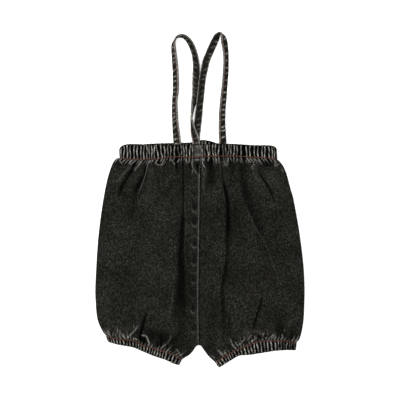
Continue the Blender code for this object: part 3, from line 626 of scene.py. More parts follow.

# Dips along the felled strip, pulled in by its sewing: y of the middle, half height, how dark its painted
# shade is

FELL_DIPS = (
    (0.0225, 0.0050, 0.25),
    (0.0080, 0.0050, 0.35),
    (-0.0073, 0.0074, 0.60),
    (-0.0279, 0.0064, 0.65),
    (-0.0440, 0.0034, 0.35),
    (-0.0557, 0.0068, 0.60),
    (-0.0796, 0.0060, 0.55),
    (-0.0942, 0.0027, 0.55),
    (-0.1054, 0.0045, 0.60),
    (-0.1247, 0.0050, 0.30),
    (-0.1432, 0.0060, 0.55),
    (-0.1570, 0.0040, 0.30),
    (-0.1697, 0.0060, 0.50),
)
FELL_BRIGHT_TOP = 0.0374

# Creases where the seam meets the waist, written as the folds are

FELL_CREASES = (
    (((-0.0070, 0.0533), (-0.0020, 0.0536), (0.0006, 0.0530)), 0.0018, 0.0018, 1.0, 0.0, 0.50, 0.0),
    (((-0.0034, 0.0490), (-0.0022, 0.0420), (-0.0012, 0.0362)), 0.0042, 0.0036, 0.4, 0.0, 0.0, 0.98),
    (((-0.0101, 0.0550), (-0.0101, 0.0464), (-0.0088, 0.0420), (-0.0028, 0.0325)),
     0.0008, 0.0008, 1.0, 0.0, 0.58, 0.0),
    (((-0.0093, 0.0411), (-0.0112, 0.0335)), 0.0008, 0.0008, 1.0, 0.0, 0.40, 0.0),
    (((-0.0128, 0.0480), (-0.0124, 0.0395)), 0.0020, 0.0020, 1.0, 0.0, 0.0, 0.75),
)

# How many gathers the cuffs and the back waist have, and the share of each cuff that is less worn

CUFF_GATHERS = {"left": 25, "right": 27, "back": 22}
CUFF_DULL_SHARE = {"left": 0.0, "right": 0.19}
BACK_WAIST_GATHERS = 40

# Colours, linear

# The first colour is the near black of unfaded dye and of the painted shade in folds, seams, dips and
# between gathers.
DARK_DYE_AND_SHADE = (0.0014, 0.0015, 0.0010)
WASHED_DARK = (0.0032, 0.0034, 0.0026)
WASHED_LIGHT = (0.0358, 0.0363, 0.0303)
WARM_FLECK = (0.0390, 0.0340, 0.0280)
WORN = (0.520, 0.495, 0.450)
THREAD = (0.096, 0.032, 0.016)
# The under stitches are the rust thread darkened, as painted shade.
BOBBIN_THREAD_IN_SHADE = (0.030, 0.018, 0.012)


def smooth_path(rows, per_row=12):
    """Many points along a smooth curve through the rows of a table."""
    table = np.array(rows, float)
    before = 2 * table[0] - table[1]
    after = 2 * table[-1] - table[-2]
    knots = np.vstack([before, table, after])
    t = np.linspace(0.0, 1.0, per_row, endpoint=False)[:, None]
    points = []
    for a, b, c, d in zip(knots[:-3], knots[1:-2], knots[2:-1], knots[3:]):
        points.append(0.5 * (2 * b + (c - a) * t + (2 * a - 5 * b + 4 * c - d) * t**2
                             + (3 * b - a - 3 * c + d) * t**3))
    points.append(table[-1:])
    return np.vstack(points)


def along(points, shares):
    """Points at the given shares of a path's length."""
    steps = np.linalg.norm(np.diff(points[:, :2], axis=0), axis=1)
    length = np.concatenate([[0.0], np.cumsum(steps)])
    at = np.ravel(shares) * length[-1]
    return np.stack([np.interp(at, length, points[:, k]) for k in range(points.shape[1])], axis=1)


def path_length(points):
    return float(np.linalg.norm(np.diff(points[:, :2], axis=0), axis=1).sum())


def moved(points, dx=0.0, dy=0.0):
    """A path shifted in the plane."""
    return points + np.array([dx, dy])


def distance_to(x, y, path, reach=0.08):
    """Distance of each point of a grid from a path, or reach where it is further."""
    out = np.full(x.shape, reach)
    low = path.min(axis=0) - reach
    high = path.max(axis=0) + reach
    near = (x > low[0]) & (x < high[0]) & (y > low[1]) & (y < high[1])
    if near.any():
        flat = np.stack([x[near], y[near]], axis=1)
        gaps = np.full(len(flat), reach)
        for point in path:
            gaps = np.minimum(gaps, np.hypot(flat[:, 0] - point[0], flat[:, 1] - point[1]))
        out[near] = gaps
    return out


def uneven(count, seed, spread=0.25):
    """Shares of a length where gathers meet, unevenly spaced."""
    rng = np.random.RandomState(seed)
    widths = 1.0 + spread * (2.0 * rng.rand(count) - 1.0)
    return np.concatenate([[0.0], np.cumsum(widths)]) / widths.sum()


def waves(x, y, seed, size):
    """Soft uneven waviness of laid cloth."""
    rng = np.random.RandomState(seed)
    total = np.zeros(x.shape)
    for _ in range(WAVE_COUNT):
        turn = rng.rand() * 2.0 * math.pi
        pitch = SHORTEST_WAVE + (LONGEST_WAVE - SHORTEST_WAVE) * rng.rand()
        phase = rng.rand() * 2.0 * math.pi
        total += np.sin((x * math.cos(turn) + y * math.sin(turn)) * 2.0 * math.pi / pitch + phase)
    return size * total / math.sqrt(WAVE_COUNT)


def crest(gap, half_width):
    """One at no gap, falling off smoothly to both sides."""
    return np.exp(-((gap / half_width) ** 2))


def ridge_of(gap, sizes):
    """A crest with the height and half width that sizes holds."""
    height, half_width = sizes
    return height * crest(gap, half_width)


def plateau(gap, half_width):
    """Like crest, but level in the middle and steeper at its sides."""
    return np.exp(-(np.abs(gap / half_width) ** 3))


def add_folds(x, y, fields, folds, height_share=1.0):
    """Adds the folds' heights, wear, and dark dye with painted shade in their troughs, to the fields of a
    grid.
    """
    for points, west, east, growth, height, wear, dye_and_shade in folds:
        path = smooth_path(points, 8)
        steps = max(12, int(path_length(path) / FOLD_STEP))
        shares = np.linspace(0.0, 1.0, steps)
        path = along(path, shares)
        reach = 2.6 * max(west, east) * max(growth, 1.0)
        low = path.min(axis=0) - reach
        high = path.max(axis=0) + reach
        near = (x > low[0]) & (x < high[0]) & (y > low[1]) & (y < high[1])
        if not near.any():
            continue
        dx = x[near][:, None] - path[None, :, 0]
        dy = y[near][:, None] - path[None, :, 1]
        closest = np.hypot(dx, dy).argmin(axis=1)
        picked = np.arange(len(closest))
        dx, dy = dx[picked, closest], dy[picked, closest]
        ahead = np.gradient(path, axis=0)[closest]
        eastward = ahead[:, 0] * dy - ahead[:, 1] * dx > 0
        share = shares[closest]
        width = np.where(eastward, east, west) * (1.0 + (growth - 1.0) * share)
        gap = np.hypot(dx, dy)
        start = np.clip(share / 0.06, 0.5, 1.0)
        fade = start * np.clip((1.0 - share) / 0.25, 0.0, 1.0) ** 0.7
        fields["z"][near] += height_share * height * fade * crest(gap, width)
        uneven_wear = 0.28 if wear > 0.3 else 0.0
        beat = 1.0 - uneven_wear * (1.0 + np.sin(2400.0 * path_length(path) * share + 40.0 * east))
        rubbed = wear * beat * fade * crest(gap, 0.85 * width)
        fields["wear"][near] = np.maximum(fields["wear"][near], rubbed)
        # Painted shade in the trough, together with unfaded dye.
        soft = np.where(eastward, east > 1.3 * west, west > 1.3 * east)
        shade = np.where(soft, crest(gap, 0.9 * width), plateau(gap, width))
        fields["dye_and_shade"][near] = np.maximum(fields["dye_and_shade"][near], dye_and_shade * fade * shade)


def grid_mesh(name, top, bottom, values, material):
    """A closed cloth wall between two grids of points, with the values of each attribute per point."""
    rows, columns = top.shape[:2]
    count = rows * columns
    points = np.concatenate([top.reshape(-1, 3), bottom.reshape(-1, 3)])
    index = np.arange(count).reshape(rows, columns)
    a, b = index[:-1, :-1].ravel(), index[:-1, 1:].ravel()
    c, d = index[1:, 1:].ravel(), index[1:, :-1].ravel()
    upper = np.stack([a, d, c, b], axis=1)
    lower = np.stack([a, b, c, d], axis=1) + count
    rim = np.concatenate([index[0, :-1], index[:-1, -1], index[-1, :0:-1], index[:0:-1, 0]])
    after = np.roll(rim, -1)
    sides = np.stack([rim, after, after + count, rim + count], axis=1)
    faces = np.concatenate([upper, lower, sides])
    if signed_area(top) > 0:
        faces = faces[:, ::-1]
    both = {key: np.concatenate([value.ravel(), value.ravel()]) for key, value in values.items()}
    return new_piece(name, points, faces, both, material)


def signed_area(top):
    """Above zero where columns then rows turn the way that faces down."""
    across = top[0, -1, :2] - top[0, 0, :2]
    down = top[-1, 0, :2] - top[0, 0, :2]
    return across[0] * down[1] - across[1] * down[0]


def ring_mesh(name, rings, values, material):
    """A closed body through rings of points, with flat ends."""
    count, size = rings.shape[:2]
    index = np.arange(count * size).reshape(count, size)
    a, b = index[:-1], np.roll(index[:-1], -1, axis=1)
    c, d = np.roll(index[1:], -1, axis=1), index[1:]
    faces = np.stack([a.ravel(), b.ravel(), c.ravel(), d.ravel()], axis=1)
    ends = [tuple(int(i) for i in index[0][::-1]), tuple(int(i) for i in index[-1])]
    flat = {key: value.ravel() for key, value in values.items()}
    return new_piece(name, rings.reshape(-1, 3), faces, flat, material, ends)


def new_piece(name, points, faces, values, material, ends=()):
    """An object with smooth faces that look outwards, and one attribute for each of the values."""
    mesh = bpy.data.meshes.new(name)
    every = [tuple(map(int, f)) for f in faces] + list(ends)
    mesh.from_pydata(points.tolist(), [], every)
    for key, value in values.items():
        attribute = mesh.attributes.new(key, "FLOAT", "POINT")
        attribute.data.foreach_set("value", np.clip(value, 0.0, 1.0).astype(np.float32))
    mesh.materials.append(material)
    mesh.polygons.foreach_set("use_smooth", np.ones(len(mesh.polygons), bool))
    mesh.update()
    piece = bpy.data.objects.new(name, mesh)
    bpy.context.scene.collection.objects.link(piece)
    if volume_of(mesh) < 0:
        mesh.flip_normals()
    return piece


def volume_of(mesh):
    """Six times the volume inside a mesh, below zero where its faces look inwards."""
    mesh.calc_loop_triangles()
    count = len(mesh.vertices)
    points = np.empty(count * 3)
    mesh.vertices.foreach_get("co", points)
    points = points.reshape(-1, 3)
    corners = np.empty(len(mesh.loop_triangles) * 3, np.int32)
    mesh.loop_triangles.foreach_get("vertices", corners)
    a, b, c = points[corners.reshape(-1, 3)].transpose(1, 0, 2)
    return float(np.einsum("ij,ij->i", a, np.cross(b, c)).sum())


# Materials


def socket(tree, name, kind, value=None, out=False):
    made = tree.interface.new_socket(name=name, in_out="OUTPUT" if out else "INPUT", socket_type=kind)
    if value is not None:
        made.default_value = value
    return made


def node(tree, kind, **settings):
    made = tree.nodes.new(kind)
    for key, value in settings.items():
        setattr(made, key, value)
    return made


def maths(tree, operation, first, second, clamp=False):
    made = node(tree, "ShaderNodeMath", operation=operation, use_clamp=clamp)
    for slot, value in ((0, first), (1, second)):
        if isinstance(value, (int, float)):
            made.inputs[slot].default_value = value
        else:
            tree.links.new(value, made.inputs[slot])
    return made.outputs[0]


def span(tree, value, low, high, to_low=0.0, to_high=1.0):
    """Stretches low to high onto to_low to to_high, held at both ends."""
    made = node(tree, "ShaderNodeMapRange", clamp=True)
    for name, given in (("From Min", low), ("From Max", high), ("To Min", to_low), ("To Max", to_high)):
        made.inputs[name].default_value = given
    tree.links.new(value, made.inputs["Value"])
    return made.outputs["Result"]


def blend_colours(tree, share, first, second):
    made = node(tree, "ShaderNodeMix", data_type="RGBA", clamp_factor=False)
    tree.links.new(share, made.inputs[0])
    for slot, value in ((6, first), (7, second)):
        if isinstance(value, tuple):
            made.inputs[slot].default_value = (*value, 1.0)
        else:
            tree.links.new(value, made.inputs[slot])
    return made.outputs[2]


def noise(tree, place, scale, detail):
    made = node(tree, "ShaderNodeTexNoise")
    made.inputs["Scale"].default_value = scale
    made.inputs["Detail"].default_value = detail
    made.inputs["Roughness"].default_value = 0.5
    tree.links.new(place, made.inputs["Vector"])
    return made.outputs["Fac"]


def denim_group():
    """Washed denim: near black in the hollows, as unfaded dye and painted shade, grey flecks, and bare weft
    where it is rubbed.
    """
    tree = bpy.data.node_groups.new("washed denim", "ShaderNodeTree")
    socket(tree, "Place", "NodeSocketVector")
    socket(tree, "Wear", "NodeSocketFloat", 0.0)
    socket(tree, "Dye_And_Shade", "NodeSocketFloat", 0.0)
    socket(tree, "Fleck", "NodeSocketFloat", 1.0)
    socket(tree, "Colour", "NodeSocketColor", out=True)
    socket(tree, "Roughness", "NodeSocketFloat", out=True)
    socket(tree, "Height", "NodeSocketFloat", out=True)
    given = node(tree, "NodeGroupInput").outputs
    gives = node(tree, "NodeGroupOutput").inputs
    place = given["Place"]
    drawn = node(tree, "ShaderNodeVectorMath", operation="MULTIPLY")
    drawn.inputs[1].default_value = YARN_DRAWN
    tree.links.new(place, drawn.inputs[0])
    yarn = drawn.outputs["Vector"]
    fine = noise(tree, yarn, FINE_SCALE, 1.0)
    coarse = noise(tree, yarn, COARSE_SCALE, 2.0)
    cloudy = noise(tree, place, CLOUD_SCALE, 2.0)
    tint = noise(tree, place, TINT_SCALE, 0.0)
    twill = node(tree, "ShaderNodeTexWave", wave_type="BANDS", bands_direction="DIAGONAL")
    twill.inputs["Scale"].default_value = TWILL_SCALE
    twill.inputs["Distortion"].default_value = 1.2
    twill.inputs["Detail"].default_value = 2.0
    twill.inputs["Detail Scale"].default_value = 3.0
    tree.links.new(place, twill.inputs["Vector"])
    both = maths(tree, "ADD", maths(tree, "MULTIPLY", fine, 0.62), maths(tree, "MULTIPLY", coarse, 0.30))
    both = maths(tree, "ADD", both, maths(tree, "MULTIPLY", twill.outputs["Fac"], 0.08))
    cells = node(tree, "ShaderNodeTexVoronoi")
    cells.inputs["Scale"].default_value = SPECK_SCALE
    tree.links.new(yarn, cells.inputs["Vector"])
    split = node(tree, "ShaderNodeSeparateColor")
    tree.links.new(cells.outputs["Color"], split.inputs["Color"])
    speck = maths(tree, "POWER", span(tree, split.outputs[0], 0.35, 1.0), 2.0)
    grain = maths(tree, "ADD", maths(tree, "MULTIPLY", span(tree, both, 0.42, 0.60), 0.42),
                  maths(tree, "MULTIPLY", speck, 1.15))
    fleck = maths(tree, "MULTIPLY", grain, given["Fleck"])
    light = blend_colours(tree, span(tree, tint, 0.52, 0.72), WASHED_LIGHT, WARM_FLECK)
    washed = blend_colours(tree, fleck, WASHED_DARK, light)
    faded = blend_colours(tree, span(tree, cloudy, 0.36, 0.66, 0.0, 0.42), washed, WASHED_DARK)
    # Darkens towards near black where the dye attribute is high: unfaded dye, and painted shade.
    dark = blend_colours(tree, maths(tree, "MULTIPLY", given["Dye_And_Shade"], 1.0, clamp=True), faded, DARK_DYE_AND_SHADE)
    broken = maths(tree, "MULTIPLY", given["Wear"], span(tree, both, 0.40, 0.60, 0.40, 1.40))
    held = maths(tree, "MULTIPLY", broken, 1.0, clamp=True)
    colour = blend_colours(tree, maths(tree, "POWER", held, 1.5), dark, WORN)
    tree.links.new(colour, gives["Colour"])
    tree.links.new(span(tree, fine, 0.3, 0.7, 0.86, 0.98), gives["Roughness"])
    relief = maths(tree, "ADD", maths(tree, "MULTIPLY", twill.outputs["Fac"], 0.6), fine)
    tree.links.new(relief, gives["Height"])
    return tree


def denim_material(name, group, fleck=1.0, bump=0.35):
    material = bpy.data.materials.new(name)
    material.use_nodes = True
    tree = material.node_tree
    shader = tree.nodes["Principled BSDF"]
    shader.inputs["Specular IOR Level"].default_value = 0.0
    cloth = node(tree, "ShaderNodeGroup", node_tree=group)
    cloth.inputs["Fleck"].default_value = fleck
    place = node(tree, "ShaderNodeTexCoord")
    tree.links.new(place.outputs["Object"], cloth.inputs["Place"])
    # The dye attribute carries unfaded dye and painted shade.
    for key in ("Wear", "Dye_And_Shade"):
        read = node(tree, "ShaderNodeAttribute", attribute_name=key.lower(), attribute_type="GEOMETRY")
        tree.links.new(read.outputs["Fac"], cloth.inputs[key])
    raised = node(tree, "ShaderNodeBump")
    raised.inputs["Strength"].default_value = bump
    raised.inputs["Distance"].default_value = 0.0002
    tree.links.new(cloth.outputs["Height"], raised.inputs["Height"])
    tree.links.new(cloth.outputs["Colour"], shader.inputs["Base Color"])
    tree.links.new(cloth.outputs["Roughness"], shader.inputs["Roughness"])
    tree.links.new(raised.outputs["Normal"], shader.inputs["Normal"])
    return material


def thread_material(name, thread):
    material = bpy.data.materials.new(name)
    material.use_nodes = True
    tree = material.node_tree
    shader = tree.nodes["Principled BSDF"]
    shader.inputs["Specular IOR Level"].default_value = 0.3
    shader.inputs["Roughness"].default_value = 0.7
    place = node(tree, "ShaderNodeTexCoord").outputs["Object"]
    shade = span(tree, noise(tree, place, 900.0, 2.0), 0.3, 0.7)
    colour = blend_colours(tree, shade, tuple(0.7 * c for c in thread), tuple(1.35 * c for c in thread))
    tree.links.new(colour, shader.inputs["Base Color"])
    raised = node(tree, "ShaderNodeBump")
    raised.inputs["Distance"].default_value = 0.0001
    tree.links.new(noise(tree, place, 2500.0, 1.0), raised.inputs["Height"])
    tree.links.new(raised.outputs["Normal"], shader.inputs["Normal"])
    return material


# Panels


def cut_path(path, x):
    """The part of a left to right path before x, and the part after it, both ending at x."""
    y = np.interp(x, path[:, 0], path[:, 1])
    before = np.vstack([path[path[:, 0] < x], [[x, y]]])
    after = np.vstack([[[x, y]], path[path[:, 0] > x]])
    return before, after


def leg_plan(hand):
    """Edges of one leg, in the order side, seam, inseam, waist and cuff line."""
    waist = moved(smooth_path(WAIST_LINE), dy=-EDGE_GAP)
    before, after = cut_path(waist, CENTRE_SEAM[0][0] + hand * EDGE_GAP)
    seam = moved(smooth_path(CENTRE_SEAM), dx=hand * EDGE_GAP)
    if hand < 0:
        side = smooth_path(SIDE_LEFT)
        inseam = moved(smooth_path(INSEAM_LEFT), dx=-EDGE_GAP)
        line = moved(smooth_path(CUFF_LINE_LEFT), dy=EDGE_GAP)
        waist = before
    else:
        side = smooth_path(SIDE_RIGHT)
        inseam = moved(smooth_path(INSEAM_RIGHT), dx=EDGE_GAP)
        line = moved(smooth_path(CUFF_LINE_RIGHT), dy=EDGE_GAP)
        waist = after[::-1]
    side = np.vstack([waist[0], side[2:-1], line[0]])
    seam[0] = waist[-1]
    inseam[-1] = line[-1]
    return side, seam, inseam, waist, line


def leg_grid(plan, cell, fine_share=1.0):
    """Plan of a leg panel: rows from waist to cuff, closer near both, and columns from side to centre."""
    side, seam, inseam, waist, line = plan
    inner = np.vstack([seam, inseam[1:]])
    length = path_length(inner)
    columns = int(1.05 * path_length(waist) / (cell * fine_share))
    place = [0.0]
    while place[-1] < length:
        from_casing = min(place[-1], length - place[-1])
        coarser = (1.5 - fine_share) * min(1.0, from_casing / 0.034) ** 2
        place.append(place[-1] + cell * (fine_share + coarser))
    t = np.array(place) / place[-1]
    s = np.linspace(0.0, 1.0, columns)
    left = along(side, t)[:, None, :]
    right = along(inner, t)[:, None, :]
    top = along(waist, s)[None, :, :]
    low = along(line, s)[None, :, :]
    s, t = s[None, :, None], t[:, None, None]
    top_ends = (1 - s) * waist[0] + s * waist[-1]
    low_ends = (1 - s) * line[0] + s * line[-1]
    return (1 - s) * left + s * right + (1 - t) * (top - top_ends) + t * (low - low_ends)


def front_fields(hand, plan, grid):
    """Height, wear, and dark dye with painted shade, at each point of a front panel."""
    side, seam, inseam, waist, line = plan
    x, y = grid[..., 0], grid[..., 1]
    edge = np.minimum(distance_to(x, y, side), distance_to(x, y, along(inseam, np.linspace(0, 1, 60))))
    under_waist = distance_to(x, y, along(waist, np.linspace(0, 1, 260)), 0.06)
    over_cuff = distance_to(x, y, along(line, np.linspace(0, 1, 260)), 0.05)
    beside_seam = distance_to(x, y, along(seam, np.linspace(0, 1, 400)), 0.05)
    z = FRONT_EDGE_HEIGHT + SIDE_ROUND * (1.0 - np.exp(-edge / SIDE_ROUND_REACH))
    z += (CROWN - CROWN_SETTLED) * (1.0 - np.exp(-edge / CROWN_REACH))
    fields = {"z": z, "wear": np.zeros(x.shape), "dye_and_shade": np.zeros(x.shape)}
    folds = []
    for fold in FOLDS + FELL_CREASES:
        middle = np.mean([point[0] for point in fold[0]])
        if hand * (middle - SEAM_MIDDLE) > -FOLD_OVERLAP:
            folds.append(fold)
    edge_hold = 1.0 - np.exp(-edge / FOLD_HOLD_REACH)
    relief = {"z": np.zeros(x.shape), "wear": fields["wear"], "dye_and_shade": fields["dye_and_shade"]}
    add_folds(x, y, relief, folds)
    relief["z"] += waves(x, y, 11, FRONT_WAVES)
    waist_gathers(grid, under_waist, relief)
    cuff_gathers_into(grid, over_cuff, relief, hand)
    fields["z"] += relief["z"] * edge_hold
    fields["z"] -= ridge_of(under_waist, WAIST_DIP)
    fields["z"] -= ridge_of(over_cuff, CUFF_DIP)
    fields["z"] -= ridge_of(beside_seam, SEAM_DIP)
    fields["z"] = np.maximum(fields["z"], FRONT_LOWEST + LEAST_CLOTH)
    # Painted shade at the foot of the waist casing and the top of the leg casing.
    fields["dye_and_shade"] += 0.55 * crest(under_waist, 0.0010) + 0.5 * crest(over_cuff, 0.0009)
    # Painted shadow of the felled strip on the right panel, beside the seam.
    if hand > 0:
        fields["dye_and_shade"] += 0.92 * plateau(beside_seam, 0.0019)
    fields["wear"] += 0.04 * crest(edge, 0.0010)
    return fields


def waist_gathers(grid, under, relief):
    """The waist casing's gathers, run on into the panel and spread as it widens."""
    start = grid[0, :, 0]
    rng = np.random.RandomState(5)
    depth = np.zeros(grid.shape[:2])
    wear = np.zeros(grid.shape[:2])
    for _, foot, worn in WAIST_GATHERS:
        length = 0.0032 + 0.0060 * rng.rand() ** 1.6
        lean = 0.16 * (2.0 * rng.rand() - 1.0)
        gap = start[None, :] - foot - lean * under
        depth += 0.0011 * crest(gap, 0.0011) * np.exp(-under / length)
        wear += 0.92 * worn * crest(gap, 0.0007) * crest(under, 0.9 * length)
    relief["z"] += depth - 0.0005 * np.exp(-under / 0.004)
    # Painted shade under the waist casing, between the worn crests of the gathers.
    relief["dye_and_shade"] += np.clip(1.20 * np.exp(-under / 0.0058) - 1.3 * wear - 1.1 * relief["wear"], 0.0, 1.0)
    relief["wear"] += wear * (1.0 - 0.8 * relief["wear"])


def cuff_gathers_into(grid, over, relief, hand):
    """The leg casing's gathers, run on up into the panel."""
    key = "left" if hand < 0 else "right"
    count = CUFF_GATHERS[key]
    ends = uneven(count, 3 if hand < 0 else 4)
    share = np.linspace(0.0, 1.0, grid.shape[1])
    rng = np.random.RandomState(8)
    depth = np.zeros(grid.shape[:2])
    wear = np.zeros(grid.shape[:2])
    for low, high in zip(ends[:-1], ends[1:]):
        middle, half = 0.5 * (low + high), 0.25 * (high - low)
        length = 0.0028 + 0.0064 * rng.rand() ** 1.6
        worn = 0.26 + 0.46 * rng.rand()
        line = crest(share - middle, half)[None, :]
        depth += 0.0010 * line * np.exp(-over / length)
        wear += worn * line * crest(over, 0.9 * length)
    relief["z"] += depth - 0.0004 * np.exp(-over / 0.004)
    # Painted shade over the leg casing, between the worn crests of the gathers.
    relief["dye_and_shade"] += np.clip(1.20 * np.exp(-over / 0.0054) - 1.3 * wear - 1.1 * relief["wear"], 0.0, 1.0)
    relief["wear"] += wear * (1.0 - 0.8 * relief["wear"])


def front_panel(name, hand, material):
    """A front panel, crowned over the back one, and the grid of its upper face."""
    plan = leg_plan(hand)
    grid = leg_grid(plan, CELL, 0.66)
    fields = front_fields(hand, plan, grid)
    top = np.dstack([grid, fields["z"]])
    inside = np.clip(fields["z"] - CLOTH, FRONT_LOWEST, BACK_TOP + MOST_HOLLOW)
    bottom = np.dstack([grid, np.minimum(inside, fields["z"] - LEAST_CLOTH)])
    values = {"wear": fields["wear"], "dye_and_shade": fields["dye_and_shade"]}
    return grid_mesh(name, top, bottom, values, material), top


def back_panel(name, hand, material):
    """A back panel, which the garment lies on: flat above, with soft gathers and creases below."""
    plan = leg_plan(hand)
    side, seam, inseam, waist, line = plan
    grid = leg_grid(plan, BACK_CELL)
    x, y = grid[..., 0], grid[..., 1]
    edge = np.minimum(distance_to(x, y, side), distance_to(x, y, along(inseam, np.linspace(0, 1, 60))))
    under = distance_to(x, y, along(waist, np.linspace(0, 1, 200)), 0.06)
    over = distance_to(x, y, along(line, np.linspace(0, 1, 200)), 0.05)
    beside = distance_to(x, y, along(seam, np.linspace(0, 1, 300)), 0.05)
    fields = {"z": np.zeros(x.shape), "wear": np.zeros(x.shape), "dye_and_shade": np.zeros(x.shape)}
    add_folds(-x, y, fields, FOLDS, BACK_FOLD_SHARE)
    share = np.linspace(0.0, 1.0, grid.shape[1])
    for gap, count, seed in ((under, BACK_WAIST_GATHERS // 2, 21), (over, CUFF_GATHERS["back"], 22)):
        ends = uneven(count, seed)
        for low, high in zip(ends[:-1], ends[1:]):
            line_up = crest(share - 0.5 * (low + high), 0.30 * (high - low))[None, :]
            fade = np.exp(-gap / (0.004 + 0.010 * ((7 * low) % 0.3)))
            fields["wear"] += 0.55 * line_up * fade
            fields["z"] += 0.0005 * (1.0 - line_up) * fade
    fields["z"] += np.abs(waves(x, y, 12, BACK_WAVES)) + ridge_of(beside, BACK_SEAM_RISE)
    # Painted shade along the centre seam.
    fields["dye_and_shade"] += 0.7 * crest(beside, 0.0010)
    low_side = np.clip(fields["z"], 0.0, 0.0009) + 0.0003 * crest(edge, 0.0015)
    bottom = np.dstack([grid, low_side])
    top = np.dstack([grid, np.full(x.shape, BACK_TOP)])
    values = {"wear": 0.8 * fields["wear"], "dye_and_shade": fields["dye_and_shade"]}
    return grid_mesh(name, top, bottom, values, material)


def fell_strip(name, top, material):
    """The felled strip of the centre front seam, puckered by its sewing."""
    seam_y = CENTRE_SEAM[-1][1]
    rows = [r for r in range(top.shape[0]) if top[r, -1, 1] > seam_y + 0.001]
    strip = []
    for r in rows:
        row = top[r]
        gap = row[-1, 0] - row[:, 0]
        order = np.argsort(gap)
        wanted = np.linspace(FELL_WIDTH, 0.0, FELL_COLUMNS)
        columns = [np.interp(wanted, gap[order], row[order, k]) for k in range(3)]
        strip.append(np.stack(columns, axis=1))
    strip = np.array(strip)
    x, y = strip[..., 0], strip[..., 1]
    v = np.linspace(0.0, 1.0, FELL_COLUMNS)[None, :]
    wear = np.zeros(x.shape)
    dye_and_shade = np.zeros(x.shape)
    dip = np.zeros(x.shape)
    # Each dip is lowered and painted dark as shade, with a worn rim below it.
    for place, tall, dark in FELL_DIPS:
        out = np.hypot((v - 0.44) / 0.42, (y - place) / tall)
        inside = np.exp(-(out ** 4))
        rim = crest(out - 1.12, 0.22) * np.clip((place - y) / tall, 0.0, 1.0) ** 0.5 * (1.1 - 0.5 * v)
        dip = np.maximum(dip, dark * inside)
        dye_and_shade = np.maximum(dye_and_shade, dark * inside)
        wear = np.maximum(wear, 0.34 * dark * rim)
    marks = {"z": np.zeros(x.shape), "wear": wear, "dye_and_shade": dye_and_shade}
    add_folds(x, y, marks, FELL_CREASES)
    rounded = 1.0 - (np.abs(2.0 * v - 1.0)) ** 6
    lift = SEAM_GAP + FELL_THICKNESS * (0.35 + 0.65 * rounded) - 0.0006 * dip * rounded
    beads = 0.62 + 0.38 * np.sin(y * 2.0 * math.pi / FELL_BEAD_PITCH + 1.4 * np.sin(y * 190.0))
    ends = np.clip((FELL_BRIGHT_TOP - y) / 0.003, 0.0, 1.0)
    bright = 0.38 + 0.14 * np.clip(y / 0.035, 0.0, 1.0)
    line = crest(v - FELL_LINE, FELL_LINE_HALF)
    wear = np.maximum(wear, bright * beads * ends * (1.0 - 0.35 * dip) * line)
    # Painted shade of the fold beside the strip, carried across it.
    dye_and_shade = np.maximum(dye_and_shade, 0.42 * crest(y + 0.095, 0.055) * (1.0 - 0.6 * v))
    dye_and_shade = dye_and_shade * (1.0 - crest(v - FELL_LINE, FELL_BARE_HALF))
    lift = np.maximum(lift, SEAM_GAP + 0.0002)
    upper = strip + np.dstack([np.zeros(x.shape), np.zeros(x.shape), lift])
    lower = strip + np.array([0.0, 0.0, 0.0001])
    return grid_mesh(name, upper, lower, {"wear": wear, "dye_and_shade": dye_and_shade}, material)


# Casings


def under_band(x, _):
    """How high the inside of the front waist casing lies at each x."""
    table = np.array(BAND_LIFT)
    return np.interp(x, table[:, 0], table[:, 1])


def under_cuff(_, share):
    """How high the inside of a front leg casing lies at each share of its length."""
    return BAND_WALL + SEAM_GAP + CUFF_LIFT * np.sin(np.pi * share)


def on_the_floor(_, share):
    return np.zeros(len(share))


